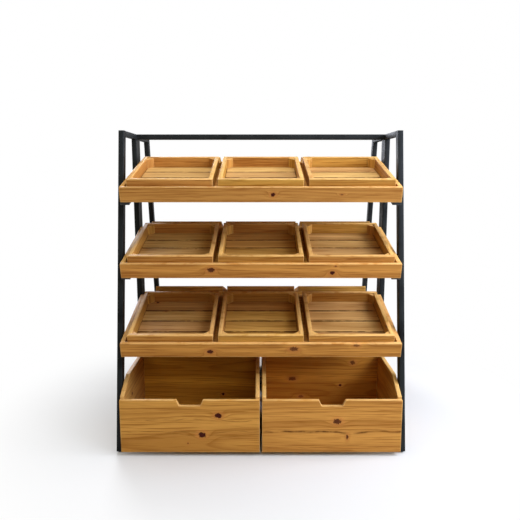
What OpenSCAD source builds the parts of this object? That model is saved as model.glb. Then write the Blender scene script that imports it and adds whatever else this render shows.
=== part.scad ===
// Double-sided market crate stand.
// Two black steel half frames stand back to back. Each carries three tilted pine trays with loose crates,
// and two pine bins stand on the floor under them.
// The front looks along -Y, the floor is z = 0, and the middle of the stand is x = 0, y = 0.

/* [Frame] */
// Width over the outer faces of the side frames
frame_w = 1300; // [1100:5:1500]
// Height of the frame above the floor
frame_h = 1438; // [1250:1:1650]
// From the middle plane to the outer face of a leg, at the top
leg_top_reach = 289; // [260:1:320]
// From the middle plane to the outer face of a leg, at the floor
leg_floor_reach = 555; // [520:1:600]
// Width of the legs and posts, and side of the square bars
tube = 25; // [20:1:30]
// Depth of the legs and posts from front to back
tube_d = 40; // [30:1:50]
// Wall of all the steel tube
tube_wall = 2; // [1.5:0.5:3]
// Height of the low tie bars above the floor
tie_z = 110; // [60:5:180]

/* [Feet] */
// Diameter of the round foot under a leg or post
foot_d = 22; // [18:1:25]
// Height of the round foot
foot_h = 9; // [6:1:15]
// Length of the plug inside the tube
plug_l = 24; // [15:1:40]

/* [Half frame bolts] */
// Diameter of the bolts through both posts
bolt_d = 8; // [6:1:10]
// Width of the bolt head and the nut across the flats
bolt_head_af = 13; // [10:1:17]
// Thickness of the bolt head
bolt_head_h = 5.3; // [3:0.1:8]
// Thickness of the nut
nut_h = 6.5; // [4:0.1:9]
// How far the bolt's end stands out of the nut
bolt_end = 3; // [1:0.5:6]
// Heights of the four pairs of bolts, as shares of the frame's height
bolt_height_shares = [0.146, 0.3825, 0.6225, 0.8658]; // [0.12:0.0001:0.95]

/* [Shelf rails] */
// Width of a rail
rail_w = 40; // [30:1:50]
// Height of a rail
rail_h = 25; // [20:1:30]
// From the lower front edge of the tray back to the end of the rail
rail_setback = 40; // [25:1:60]
// From the back end of a rail to the middle plane
rail_back_gap = 2; // [1:0.5:6]
// Thickness of the lip on a rail's end cap
cap_lip = 2; // [1:0.5:4]
// Length of the end cap inside the rail
cap_plug_l = 12; // [8:1:25]

/* [Trays] */
// Slope of the trays, front edge low
tray_tilt = 15; // [12:0.5:20]
// Heights of the low, middle and top tray's lower front edges, as shares of the frame's height
tray_height_shares = [0.3103, 0.5486, 0.7783]; // [0.29:0.0001:0.79]
// How much lower the rear low tray stands than the front one
rear_low_drop = 32; // [0:1:40]
// How much lower the rear middle tray stands than the front one
rear_middle_drop = 8; // [0:1:20]
// From the middle plane to the lower back edge of the low tray
low_tray_gap = 92; // [70:1:115]
// From the middle plane to the lower back edge of the middle tray
middle_tray_gap = 37; // [20:1:55]
// From the middle plane to the lower back edge of the top tray
top_tray_gap = 1; // [1:0.5:10]
// Room between a tray's end and the inner face of a leg
tray_side_clear = 10; // [4:0.5:14]
// Thickness of the tray boards
tray_board = 18; // [14:1:22]
// Height of the tray boards
tray_h = 68; // [60:1:80]
// Thickness of the tray floor panel
tray_floor = 12; // [6:1:15]
// Height of the cleats under the floor panel
cleat_h = 26; // [15:1:28]
// Width of the cleats
cleat_w = 20; // [12:1:30]

/* [Tray screws] */
// Diameter of the screws
screw_d = 5; // [4:0.5:6]
// Diameter of the screw head
screw_head_d = 10; // [8:0.5:12]
// Thickness of the screw head
screw_head_h = 3; // [2:0.5:5]
// Length of the screw inside the tray board
screw_bite = 30; // [15:1:40]
// From the tray's front edge to the front screw
screw_front = 90; // [70:1:130]
// From the tray's back edge to the back screw
screw_back = 60; // [40:1:100]

/* [Crates] */
// Length of a crate along the slope
crate_l = 420; // [380:1:460]
// Height of a crate
crate_h = 60; // [50:1:80]
// Thickness of the crate walls
crate_wall = 18; // [12:1:20]
// Gap between neighbouring crates
crate_gap = 23; // [6:1:40]
// Gap between an outer crate and the end of the tray
crate_end_gap = 12; // [3:1:20]
// Room between a crate and the front board it leans on
crate_front_clear = 0.5; // [0.3:0.1:2]
// Room between a crate and the back board
crate_back_clear = 3.5; // [1:0.5:8]
// Thickness of the floor slats
slat_t = 10; // [6:1:14]
// Gap between floor slats
slat_gap = 5; // [2:0.5:12]
// Number of floor slats
slat_count = 4; // [3:1:6]
// Side of the triangular corner blocks
corner_block = 30; // [18:1:40]
// How far a corner block ends below the rim
corner_drop = 4; // [1:0.5:10]

/* [Bins] */
// From the middle plane to the front face of a bin
bin_reach = 577; // [560:1:620]
// Depth of a bin
bin_depth = 445; // [380:5:500]
// Height of the front panel
bin_front_h = 244; // [200:1:280]
// Height of the back panel and of the back part of the side panels
bin_back_h = 314; // [290:1:340]
// From the front face back to the end of the sloped part of a side panel
bin_slope_l = 135; // [90:1:180]
// Thickness of the bin panels
bin_panel = 18; // [14:1:22]
// Thickness of the bin floor
bin_floor = 12; // [9:1:18]
// Gap between the two bins of one side
bin_gap = 11; // [4:1:20]
// Room between a bin and the inner face of a leg
bin_side_clear = 3; // [2:0.5:8]

/* [Hand cut-out] */
// Width of the cut-out at the rim
grip_top_w = 118; // [90:1:160]
// Width of the cut-out at its bottom
grip_bottom_w = 92; // [70:1:120]
// Depth of the cut-out
grip_depth = 27; // [20:1:45]
// Radius of the lower corners
grip_r = 7; // [4:0.5:10]

/* [Bin glides] */
// Diameter of a bin glide
glide_d = 32; // [20:1:45]
// Height of a bin glide
glide_h = 18; // [8:1:20]
// From the panels' outer faces to the middle of a glide
glide_inset = 45; // [35:1:80]

/* [Hidden] */
// Glue line left between the boards of one box
glue = 0.2;
// Clearance of a plug or bolt in its seat
fit_clear = 0.15;
// Overrun of every cut
over = 1;
$fn = 48;

halves = ["front", "rear"];
sides = ["left", "right"];
levels = ["low", "middle", "top"];
places = ["left", "centre", "right"];
rear_drop = [rear_low_drop, rear_middle_drop, 0];
tray_gap = [low_tray_gap, middle_tray_gap, top_tray_gap];
bolt_z = [for (share = bolt_height_shares) share * frame_h];

// Frame
inner_x = frame_w / 2 - tube;
post_top = frame_h - tube;
leg_run = (leg_floor_reach - leg_top_reach) / frame_h;
leg_stretch = sqrt(1 + leg_run * leg_run);
leg_depth = tube_d * leg_stretch;
leg_wall_y = tube_wall * leg_stretch;
bolt_x = frame_w / 2 - tube / 2;

// Trays
tray_w = frame_w - 2 * tube - 2 * tray_side_clear;
tray_inner_w = tray_w - 2 * tray_board;
tray_l = crate_l + crate_front_clear + crate_back_clear + 2 * tray_board;
tray_run = tray_l * cos(tray_tilt);
tray_front = [for (gap = tray_gap) gap + tray_run];
tray_bed = cleat_h + tray_floor;
rail_l = [
    for (reach = tray_front)
        (reach - rail_back_gap - rail_h * sin(tray_tilt)) / cos(tray_tilt) - rail_setback
];
screw_x = tray_w / 2 - tray_board / 2;
screw_y = [screw_front, tray_l - screw_back];

// Crates
crate_w = (tray_inner_w - 2 * crate_end_gap - (len(places) - 1) * crate_gap) / len(places);
crate_in_w = crate_w - 2 * crate_wall;
crate_in_l = crate_l - 2 * crate_wall;
slat_l = (crate_in_l - 2 * glue - (slat_count - 1) * slat_gap) / slat_count;

// Bins
bin_w = (frame_w - 2 * tube - 2 * bin_side_clear - bin_gap) / 2;
bin_x = (bin_w + bin_gap) / 2;

// The front half as it is, the rear half mirrored in the middle plane
module on_half(half) {
    if (half == "front") {
        children();
    } else {
        mirror([0, 1, 0])
            children();
    }
}

// The right side as it is, the left side mirrored
module on_side(side) {
    if (side == "right") {
        children();
    } else {
        mirror([1, 0, 0])
            children();
    }
}

// Height of a tray's lower front edge
function tray_z(half, level) =
    tray_height_shares[level] * frame_h - (half == "rear" ? rear_drop[level] : 0);

// Frame of a tray: y runs up the slope from the lower front edge, z stands square on the slope
module on_slope(half, level) {
    translate([0, -tray_front[level], tray_z(half, level)])
        rotate([tray_tilt, 0, 0])
            children();
}

// Outer face of a leg at a height
function leg_face(z) = -leg_top_reach - leg_run * (frame_h - z);

// Slanted bar of a leg between two heights, set in from the tube's faces
module leg_prism(inset_x, inset_y, z_low, z_high) {
    wide = tube - 2 * inset_x;
    deep = leg_depth - 2 * inset_y;
    translate([inner_x + inset_x, 0, 0])
        rotate([90, 0, 90])
            linear_extrude(wide)
                polygon([
                    [leg_face(z_low) + inset_y, z_low],
                    [leg_face(z_low) + inset_y + deep, z_low],
                    [leg_face(z_high) + inset_y + deep, z_high],
                    [leg_face(z_high) + inset_y, z_high]
                ]);
}

module leg(half, side) {
    color("#26292b")
        on_half(half)
            on_side(side)
                difference() {
                    leg_prism(0, 0, foot_h, frame_h);
                    leg_prism(tube_wall, leg_wall_y, foot_h - over, frame_h - tube_wall);
                }
}

module post(half, side) {
    inside_w = tube - 2 * tube_wall;
    inside_d = tube_d - 2 * tube_wall;
    color("#26292b")
        on_half(half)
            on_side(side)
                difference() {
                    translate([inner_x, -tube_d, foot_h])
                        cube([tube, tube_d, post_top - foot_h]);
                    translate([inner_x + tube_wall, -tube_d + tube_wall, foot_h - over])
                        cube([inside_w, inside_d, post_top - foot_h + 2 * over]);
                    for (z = bolt_z)
                        translate([bolt_x, over, z])
                            rotate([90, 0, 0])
                                cylinder(d = bolt_d + 2 * fit_clear, h = tube_d + 2 * over);
                }
}

// Side bar from the leg's back face to the middle plane, its front end cut to the leg's slant
module top_bar(half, side) {
    color("#26292b")
        on_half(half)
            on_side(side)
                difference() {
                    translate([inner_x, 0, 0])
                        rotate([90, 0, 90])
                            linear_extrude(tube)
                                polygon([
                                    [leg_face(post_top) + leg_depth, post_top],
                                    [0, post_top],
                                    [0, frame_h],
                                    [leg_face(frame_h) + leg_depth, frame_h]
                                ]);
                    translate([inner_x + tube_wall, leg_face(post_top), post_top + tube_wall])
                        cube([tube - 2 * tube_wall, over - leg_face(post_top), tube - 2 * tube_wall]);
                }
}

// Square tube across the stand, between the side frames
module cross_tube(z_low) {
    translate([-inner_x, -tube, z_low])
        difference() {
            cube([2 * inner_x, tube, tube]);
            translate([-over, tube_wall, tube_wall])
                cube([2 * inner_x + 2 * over, tube - 2 * tube_wall, tube - 2 * tube_wall]);
        }
}

module crossbar(half) {
    color("#26292b")
        on_half(half)
            cross_tube(post_top);
}

module tie_bar(half) {
    color("#26292b")
        on_half(half)
            cross_tube(tie_z);
}

module rail(half, level) {
    on_slope(half, level)
        difference() {
            translate([inner_x - rail_w, rail_setback, -rail_h])
                cube([rail_w, rail_l[level], rail_h]);
            translate([inner_x - rail_w + tube_wall, rail_setback - over, tube_wall - rail_h])
                cube([rail_w - 2 * tube_wall, rail_l[level] + 2 * over, rail_h - 2 * tube_wall]);
            for (y = screw_y)
                translate([screw_x, y, -rail_h - over])
                    cylinder(d = screw_d + 2 * fit_clear, h = rail_h + 2 * over);
        }
}

module rails(half, side) {
    color("#26292b")
        on_half(half)
            on_side(side)
                for (level = [0:len(levels) - 1])
                    rail(half, level);
}

module rail_cap(half, level) {
    plug_w = rail_w - 2 * tube_wall - 2 * fit_clear;
    plug_h = rail_h - 2 * tube_wall - 2 * fit_clear;
    on_slope(half, level) {
        translate([inner_x - rail_w, rail_setback - cap_lip, -rail_h])
            cube([rail_w, cap_lip, rail_h]);
        translate([inner_x - (rail_w + plug_w) / 2, rail_setback - cap_lip / 2, -(rail_h + plug_h) / 2])
            cube([plug_w, cap_lip / 2 + cap_plug_l, plug_h]);
    }
}

module rail_caps() {
    color("#1a1b1c")
        for (half = halves)
            for (side = sides)
                for (level = [0:len(levels) - 1])
                    on_half(half)
                        on_side(side)
                            rail_cap(half, level);
}

// Round foot with a plug that fits the slanted tube of a leg
module leg_glide() {
    foot_y = leg_face(foot_h) + leg_depth / 2;
    translate([bolt_x, foot_y, 0])
        cylinder(d = foot_d, h = foot_h);
    leg_prism(tube_wall + fit_clear, leg_wall_y + fit_clear, foot_h - over, foot_h + plug_l);
}

module post_glide() {
    plug_w = tube - 2 * tube_wall - 2 * fit_clear;
    plug_d = tube_d - 2 * tube_wall - 2 * fit_clear;
    translate([bolt_x, -tube_d / 2, 0])
        cylinder(d = foot_d, h = foot_h);
    translate([bolt_x - plug_w / 2, -(tube_d + plug_d) / 2, foot_h - over])
        cube([plug_w, plug_d, plug_l + over]);
}

module leg_glides() {
    color("#1a1b1c")
        for (half = halves)
            for (side = sides)
                on_half(half)
                    on_side(side) {
                        leg_glide();
                        post_glide();
                    }
}

module hexagon(across_flats, thickness) {
    cylinder(d = across_flats / cos(30), h = thickness, $fn = 6);
}

// Bolt through both posts, its head on the front face
module frame_bolts() {
    bolt_l = 2 * tube_d + nut_h + bolt_end;
    color("#8a8d90")
        for (side = sides)
            for (z = bolt_z)
                on_side(side)
                    translate([bolt_x, -tube_d, z])
                        rotate([-90, 0, 0]) {
                            translate([0, 0, -bolt_head_h])
                                hexagon(bolt_head_af, bolt_head_h);
                            cylinder(d = bolt_d, h = bolt_l);
                        }
}

module frame_nuts() {
    color("#8a8d90")
        for (side = sides)
            for (z = bolt_z)
                on_side(side)
                    translate([bolt_x, tube_d, z])
                        rotate([-90, 0, 0])
                            difference() {
                                hexagon(bolt_head_af, nut_h);
                                translate([0, 0, -over])
                                    cylinder(d = bolt_d + 2 * fit_clear, h = nut_h + 2 * over);
                            }
}

module tray_screw(y) {
    translate([screw_x, y, -rail_h - screw_head_h])
        cylinder(d = screw_head_d, h = screw_head_h);
    translate([screw_x, y, -rail_h - screw_head_h / 2])
        cylinder(d = screw_d, h = screw_head_h / 2 + rail_h + screw_bite);
}

module tray_screws() {
    color("#8a8d90")
        for (half = halves)
            for (side = sides)
                for (level = [0:len(levels) - 1])
                    for (y = screw_y)
                        on_half(half)
                            on_side(side)
                                on_slope(half, level)
                                    tray_screw(y);
}

// Side board with blind holes for the two screws
module tray_side_board() {
    hole_l = screw_bite + fit_clear + over;
    difference() {
        translate([tray_w / 2 - tray_board, tray_board + glue, 0])
            cube([tray_board, tray_l - 2 * tray_board - 2 * glue, tray_h]);
        for (y = screw_y)
            translate([screw_x, y, -over])
                cylinder(d = screw_d + 2 * fit_clear, h = hole_l);
    }
}

module tray(half, level) {
    inner_w = tray_inner_w - 2 * glue;
    inner_l = tray_l - 2 * tray_board - 2 * glue;
    color("#c08a4a")
        on_half(half)
            on_slope(half, level) {
                translate([-tray_w / 2, 0, 0])
                    cube([tray_w, tray_board, tray_h]);
                translate([-tray_w / 2, tray_l - tray_board, 0])
                    cube([tray_w, tray_board, tray_h]);
                for (side = sides)
                    on_side(side)
                        tray_side_board();
                translate([-inner_w / 2, tray_board + glue, cleat_h + glue])
                    cube([inner_w, inner_l, tray_floor - glue]);
                for (y = [tray_board + glue, tray_l - tray_board - glue - cleat_w])
                    translate([-inner_w / 2, y, 0])
                        cube([inner_w, cleat_w, cleat_h]);
            }
}

// Middle of a crate across the tray
function crate_x(place) = (place - (len(places) - 1) / 2) * (crate_w + crate_gap);

module crate_slats() {
    for (i = [0:slat_count - 1])
        translate([glue - crate_in_w / 2, crate_wall + glue + i * (slat_l + slat_gap), 0])
            cube([crate_in_w - 2 * glue, slat_l, slat_t]);
}

module crate_walls() {
    for (y = [0, crate_l - crate_wall])
        translate([-crate_w / 2, y, 0])
            cube([crate_w, crate_wall, crate_h]);
    for (x = [-crate_w / 2, crate_w / 2 - crate_wall])
        translate([x, crate_wall + glue, 0])
            cube([crate_wall, crate_in_l - 2 * glue, crate_h]);
}

// Four upright triangular blocks in the inner corners
module crate_blocks() {
    block_h = crate_h - slat_t - glue - corner_drop;
    corner_x = crate_in_w / 2 - glue;
    corner_y = crate_in_l / 2 - glue;
    for (sx = [-1, 1])
        for (sy = [-1, 1])
            translate([sx * corner_x, crate_l / 2 + sy * corner_y, slat_t + glue])
                linear_extrude(block_h)
                    polygon([
                        [0, 0],
                        [-sx * corner_block, 0],
                        [0, -sy * corner_block]
                    ]);
}

module crate(half, level, place) {
    color("#cf9a55")
        on_half(half)
            on_slope(half, level)
                translate([crate_x(place), tray_board + crate_front_clear, tray_bed]) {
                    crate_walls();
                    crate_slats();
                    crate_blocks();
                }
}

// Outline of the hand cut-out, its middle at x = 0 and the rim at y = 0, with round lower corners
module grip_outline() {
    slant = atan2(grip_depth, (grip_top_w - grip_bottom_w) / 2);
    corner_x = grip_bottom_w / 2 - grip_r * tan(slant / 2);
    polygon(concat(
        [[-grip_top_w / 2, 0], [-grip_top_w / 2, over], [grip_top_w / 2, over], [grip_top_w / 2, 0]],
        [
            for (i = [0:$fn / 8])
                let (turn = slant * (1 - 8 * i / $fn))
                    [corner_x + grip_r * sin(turn), -grip_depth + grip_r * (1 - cos(turn))]
        ],
        [
            for (i = [0:$fn / 8])
                let (turn = slant * 8 * i / $fn)
                    [-corner_x - grip_r * sin(turn), -grip_depth + grip_r * (1 - cos(turn))]
        ]
    ));
}

module bin_front() {
    difference() {
        translate([-bin_w / 2, 0, 0])
            cube([bin_w, bin_panel, bin_front_h]);
        translate([0, bin_panel + over, bin_front_h])
            rotate([90, 0, 0])
                linear_extrude(bin_panel + 2 * over)
                    grip_outline();
    }
}

// Side panel with its sloped front part
module bin_side() {
    y_front = bin_panel + glue;
    slope = (bin_back_h - bin_front_h) / bin_slope_l;
    translate([bin_w / 2 - bin_panel, 0, 0])
        rotate([90, 0, 90])
            linear_extrude(bin_panel)
                polygon([
                    [y_front, 0],
                    [bin_depth, 0],
                    [bin_depth, bin_back_h],
                    [bin_slope_l, bin_back_h],
                    [y_front, bin_front_h + slope * y_front]
                ]);
}

module bin(half, side) {
    inner_w = bin_w - 2 * bin_panel - 2 * glue;
    inner_l = bin_depth - 2 * bin_panel - 2 * glue;
    color("#c08a4a")
        on_half(half)
            on_side(side)
                translate([bin_x, -bin_reach, glide_h]) {
                    bin_front();
                    for (panel_side = sides)
                        on_side(panel_side)
                            bin_side();
                    translate([-inner_w / 2, bin_depth - bin_panel, 0])
                        cube([inner_w, bin_panel, bin_back_h]);
                    translate([-inner_w / 2, bin_panel + glue, 0])
                        cube([inner_w, inner_l, bin_floor]);
                }
}

module bin_glides(half, side) {
    color("#1a1b1c")
        on_half(half)
            on_side(side)
                for (x = [glide_inset, bin_w - glide_inset])
                    for (y = [glide_inset, bin_depth - glide_inset])
                        translate([bin_x - bin_w / 2 + x, -bin_reach + y, 0])
                            cylinder(d = glide_d, h = glide_h);
}

for (h = halves) {
    for (s = sides) {
        leg(h, s);
        post(h, s);
        top_bar(h, s);
        rails(h, s);
        bin(h, s);
        bin_glides(h, s);
    }
    crossbar(h);
    tie_bar(h);
    for (l = [0:len(levels) - 1]) {
        tray(h, l);
        for (p = [0:len(places) - 1])
            crate(h, l, p);
    }
}
rail_caps();
leg_glides();
frame_bolts();
frame_nuts();
tray_screws();
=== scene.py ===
"""Dresses the market crate stand: pine trays, crates and bins on a black steel double frame."""
import logging
import math
import random
from dataclasses import dataclass, replace
from enum import Enum
from typing import ClassVar, Iterator, Sequence

import bmesh
import bpy
from mathutils import Matrix, Vector


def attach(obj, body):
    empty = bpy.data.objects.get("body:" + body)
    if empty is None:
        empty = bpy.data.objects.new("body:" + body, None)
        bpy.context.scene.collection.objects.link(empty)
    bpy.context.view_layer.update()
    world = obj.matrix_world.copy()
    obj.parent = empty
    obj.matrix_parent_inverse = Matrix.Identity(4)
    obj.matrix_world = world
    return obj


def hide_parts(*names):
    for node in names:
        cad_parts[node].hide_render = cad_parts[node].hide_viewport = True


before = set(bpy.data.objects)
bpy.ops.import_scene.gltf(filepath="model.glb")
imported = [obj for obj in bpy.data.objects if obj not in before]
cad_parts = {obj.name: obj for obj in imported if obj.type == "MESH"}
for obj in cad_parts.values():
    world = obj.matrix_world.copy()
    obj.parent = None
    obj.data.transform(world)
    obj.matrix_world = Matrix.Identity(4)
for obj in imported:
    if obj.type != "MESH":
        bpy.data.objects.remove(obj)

LOG = logging.getLogger("crate_stand")
FRAME_BODY = "frame"

Colour = tuple[float, float, float, float]
Triple = tuple[float, float, float]
Span = tuple[float, float]
Outline = Sequence[tuple[float, float]]
Node = bpy.types.Node
Socket = bpy.types.NodeSocket
Sockets = dict[str, Socket]


class Half(Enum):
    """The two halves of the stand, back to back."""

    FRONT = "front"
    REAR = "rear"


class Side(Enum):
    """The two ends of the stand."""

    LEFT = "left"
    RIGHT = "right"


class Level(Enum):
    """The three trays of one half, from the floor up."""

    LOW = 0
    MIDDLE = 1
    TOP = 2


class Place(Enum):
    """The three crates in one tray."""

    LEFT = -1
    CENTRE = 0
    RIGHT = 1


class Fibre(Enum):
    """The axis of a board that its wood fibres follow."""

    X = 0
    Y = 1
    Z = 2


def srgb(red: int, green: int, blue: int) -> Colour:
    """Turns a colour as a screen shows it into the linear values of a shader.

    Args:
        red: Red from 0 to 255.
        green: Green from 0 to 255.
        blue: Blue from 0 to 255.

    Returns:
        Linear red, green and blue, and an alpha of 1.
    """
    linear = [
        (c / 255) / 12.92 if c <= 10 else ((c / 255 + 0.055) / 1.055) ** 2.4
        for c in (red, green, blue)
    ]
    return (linear[0], linear[1], linear[2], 1.0)


class NodeSheet:
    """Adds and joins the nodes of one shader tree."""

    def __init__(self, tree: bpy.types.NodeTree) -> None:
        """Starts on an emptied tree."""
        self.tree = tree
        tree.nodes.clear()

    def feed(self, socket: Socket, value: object) -> None:
        """Links a socket to another one, or sets its value.

        Args:
            socket: The input to fill.
            value: An output socket, a number, a vector or a colour.
        """
        if isinstance(value, Socket):
            self.tree.links.new(value, socket)
        else:
            socket.default_value = value

    def add(self, kind: str, inputs: dict[str | int, object] | None = None, **options: object) -> Node:
        """Adds a node.

        Args:
            kind: The node's type name.
            inputs: What to feed to its inputs, by name or number.
            **options: The node's own settings.

        Returns:
            The new node.
        """
        node = self.tree.nodes.new(kind)
        for key, value in options.items():
            setattr(node, key, value)
        for key, value in (inputs or {}).items():
            self.feed(node.inputs[key], value)
        return node

    def math(self, operation: str, *values: object) -> Socket:
        """Adds a sum of one, two or three numbers."""
        return self.add("ShaderNodeMath", dict(enumerate(values)), operation=operation).outputs[0]

    def times(self, first: object, second: object) -> Socket:
        """Multiplies two numbers."""
        return self.math("MULTIPLY", first, second)

    def vector_math(self, operation: str, vector: Socket, other: object) -> Socket:
        """Adds a sum of two vectors."""
        return self.add("ShaderNodeVectorMath", {0: vector, 1: other}, operation=operation).outputs[0]

    def parts(self, vector: Socket) -> tuple[Socket, ...]:
        """Splits a vector into x, y and z."""
        return tuple(self.add("ShaderNodeSeparateXYZ", {0: vector}).outputs)

    def vector(self, x: object, y: object, z: object) -> Socket:
        """Joins x, y and z to a vector."""
        return self.add("ShaderNodeCombineXYZ", {0: x, 1: y, 2: z}).outputs[0]

    def noise(self, vector: Socket, detail: float, scale: object = 1.0) -> Socket:
        """Adds cloudy noise.

        Args:
            vector: Where to read it.
            detail: How many finer layers it has.
            scale: How many clouds there are to a metre, as a number or a socket.

        Returns:
            A value round 0.5.
        """
        node = self.add("ShaderNodeTexNoise", {"Vector": vector, "Scale": scale, "Detail": detail})
        return node.outputs[0]

    def swing(self, vector: Socket, detail: float, scale: float = 1.0) -> Socket:
        """Adds cloudy noise that swings round 0."""
        return self.math("SUBTRACT", self.noise(vector, detail, scale), 0.5)

    def span(
        self,
        value: object,
        ends: Span,
        low: float = 0.0,
        high: float = 1.0,
        smooth: bool = False,
    ) -> Socket:
        """Maps one span of numbers to another and stops at its ends.

        Args:
            value: The number to map.
            ends: The values that become low and high.
            low: The result at the first end.
            high: The result at the second end.
            smooth: Whether to ease in and out.

        Returns:
            The mapped number.
        """
        node = self.add(
            "ShaderNodeMapRange",
            {0: value, 1: ends[0], 2: ends[1], 3: low, 4: high},
            interpolation_type="SMOOTHSTEP" if smooth else "LINEAR",
        )
        return node.outputs[0]

    def mix(self, share: object, below: object, above: object) -> Socket:
        """Lays a share of one colour over another."""
        return self.add("ShaderNodeMix", {0: share, 6: below, 7: above}, data_type="RGBA").outputs[2]

    def bump(self, height: Socket, strength: float, distance: float) -> Socket:
        """Turns a height into a normal, with the given strength and distance."""
        inputs = {"Height": height, "Strength": strength, "Distance": distance}
        return self.add("ShaderNodeBump", inputs).outputs[0]

    def attribute(self, name: str) -> Node:
        """Reads a piece's own attribute."""
        return self.add("ShaderNodeAttribute", attribute_name=name)


class SharedEffect:
    """A surface effect that several finishes use, kept as one node group."""

    title: ClassVar[str]
    takes: ClassVar[dict[str, str]]
    gives: ClassVar[tuple[str, ...]]

    def draw(self, sheet: NodeSheet, given: Sockets) -> Sockets:
        """Draws the inside of the group.

        Args:
            sheet: The group's own sheet.
            given: The group's inputs by name.

        Returns:
            The group's outputs by name.
        """
        raise NotImplementedError

    def tree(self) -> bpy.types.NodeTree:
        """Gives the group, and builds it the first time.

        Returns:
            The group's tree.
        """
        known = bpy.data.node_groups.get(self.title)
        if known:
            return known
        group = bpy.data.node_groups.new(self.title, "ShaderNodeTree")
        sheet = NodeSheet(group)
        for name, kind in self.takes.items():
            group.interface.new_socket(name, in_out="INPUT", socket_type=f"NodeSocket{kind}")
        for name in self.gives:
            group.interface.new_socket(name, in_out="OUTPUT", socket_type="NodeSocketFloat")
        start = sheet.add("NodeGroupInput")
        made = self.draw(sheet, {name: start.outputs[name] for name in self.takes})
        sheet.add("NodeGroupOutput", made)
        return group

    def place(self, sheet: NodeSheet, **values: object) -> Sockets:
        """Puts the group in a finish.

        Args:
            sheet: The finish's sheet.
            **values: What to feed to the group's inputs, with _ for a space.

        Returns:
            The group's outputs by name.
        """
        node = sheet.add("ShaderNodeGroup", node_tree=self.tree())
        for name, value in values.items():
            sheet.feed(node.inputs[name.replace("_", " ")], value)
        return {name: node.outputs[name] for name in self.gives}


class PineRings(SharedEffect):
    """Growth rings of a trunk that runs along x, with fibres, loose streaks and slow drifts of tone."""

    title = "pine_rings"
    takes = {"Grain": "Vector", "Lift": "Float", "Ring Gap": "Float"}
    gives = ("Late Wood", "Fibre", "Drift", "Dash")
    bend_scale: ClassVar[Triple] = (0.9, 1.6, 1.6)
    bend_depth: ClassVar[float] = 0.09
    ripple_scale: ClassVar[Triple] = (4.5, 9.0, 9.0)
    ripple_depth: ClassVar[float] = 0.012
    late_power: ClassVar[float] = 3.2
    late_end: ClassVar[Span] = (0.92, 1.0)
    year_span: ClassVar[Span] = (0.2, 0.95)
    weakest_year: ClassVar[float] = 0.1
    fibre_scale: ClassVar[Triple] = (14.0, 620.0, 620.0)
    drift_scale: ClassVar[Span] = (0.45, 2.0)
    dash_scale: ClassVar[Triple] = (5.0, 200.0, 200.0)
    dash_span: ClassVar[Span] = (0.52, 0.66)

    def draw(self, sheet: NodeSheet, given: Sockets) -> Sockets:
        """Draws rings round the x axis that bend slowly along the board.

        Args:
            sheet: The group's own sheet.
            given: The group's inputs by name.

        Returns:
            The late wood of each ring, the fibres, the drift of tone and the streaks.
        """
        grain = given["Grain"]
        _, across, through = sheet.parts(grain)
        bend = sheet.swing(sheet.vector_math("MULTIPLY", grain, self.bend_scale), detail=1.0)
        ripple = sheet.swing(sheet.vector_math("MULTIPLY", grain, self.ripple_scale), detail=2.0)
        squares = sheet.math("ADD", sheet.math("POWER", across, 2.0), sheet.math("POWER", through, 2.0))
        reach = sheet.math("MULTIPLY_ADD", bend, self.bend_depth, sheet.math("SQRT", squares))
        reach = sheet.math("MULTIPLY_ADD", ripple, self.ripple_depth, reach)
        turns = sheet.math("DIVIDE", sheet.math("ADD", reach, given["Lift"]), given["Ring Gap"])
        ring = sheet.math("FRACT", turns)
        rise = sheet.math("POWER", ring, self.late_power)
        fall = sheet.span(ring, self.late_end, 1.0, 0.0, smooth=True)
        number = sheet.math("FLOOR", turns)
        year = sheet.add("ShaderNodeTexWhiteNoise", {"W": number}, noise_dimensions="1D").outputs[0]
        strength = sheet.span(year, self.year_span, self.weakest_year, 1.0)
        along_years, along_board = self.drift_scale
        years = sheet.vector(
            sheet.times(turns, along_years), sheet.times(across, along_board), 0.0
        )
        dash = sheet.noise(sheet.vector_math("MULTIPLY", grain, self.dash_scale), detail=2.0)
        return {
            "Late Wood": sheet.times(sheet.times(rise, fall), strength),
            "Fibre": sheet.noise(sheet.vector_math("MULTIPLY", grain, self.fibre_scale), detail=2.0),
            "Drift": sheet.noise(years, detail=2.0),
            "Dash": sheet.span(dash, self.dash_span, smooth=True),
        }


class KnotMarks(SharedEffect):
    """What a knot does to the wood: a dark core, a halo round it, and rings that bend round both."""

    gives = ("Core", "Halo", "Lift")
    ragged_scale: ClassVar[float]
    ragged_depth: ClassVar[float]
    core_span: ClassVar[Span]
    halo_span: ClassVar[Span]
    ring_lift: ClassVar[float]
    lift_along: ClassVar[float] = 0.42
    lift_across: ClassVar[float] = 0.3

    def marks(self, sheet: NodeSheet, along: Socket, across: Socket, place: Socket) -> Sockets:
        """Draws the marks of one knot.

        Args:
            sheet: The group's own sheet.
            along: How far from the knot along the grain, in knot radii.
            across: How far from it across the grain.
            place: Where to read what makes the core ragged.

        Returns:
            The core, the halo and the lift of the rings.
        """
        square = sheet.times(across, across)
        round_off = sheet.math("SQRT", sheet.math("MULTIPLY_ADD", along, along, square))
        ragged = sheet.swing(place, detail=2.0, scale=self.ragged_scale)
        off = sheet.math("MULTIPLY_ADD", ragged, self.ragged_depth, round_off)
        wide = sheet.times(along, self.lift_along)
        far = sheet.math("MULTIPLY_ADD", wide, wide, sheet.times(square, self.lift_across))
        near = sheet.math("EXPONENT", sheet.times(far, -1.0))
        return {
            "Core": sheet.span(off, self.core_span, smooth=True),
            "Halo": sheet.span(off, self.halo_span, smooth=True),
            "Lift": sheet.times(near, self.ring_lift),
        }


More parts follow.
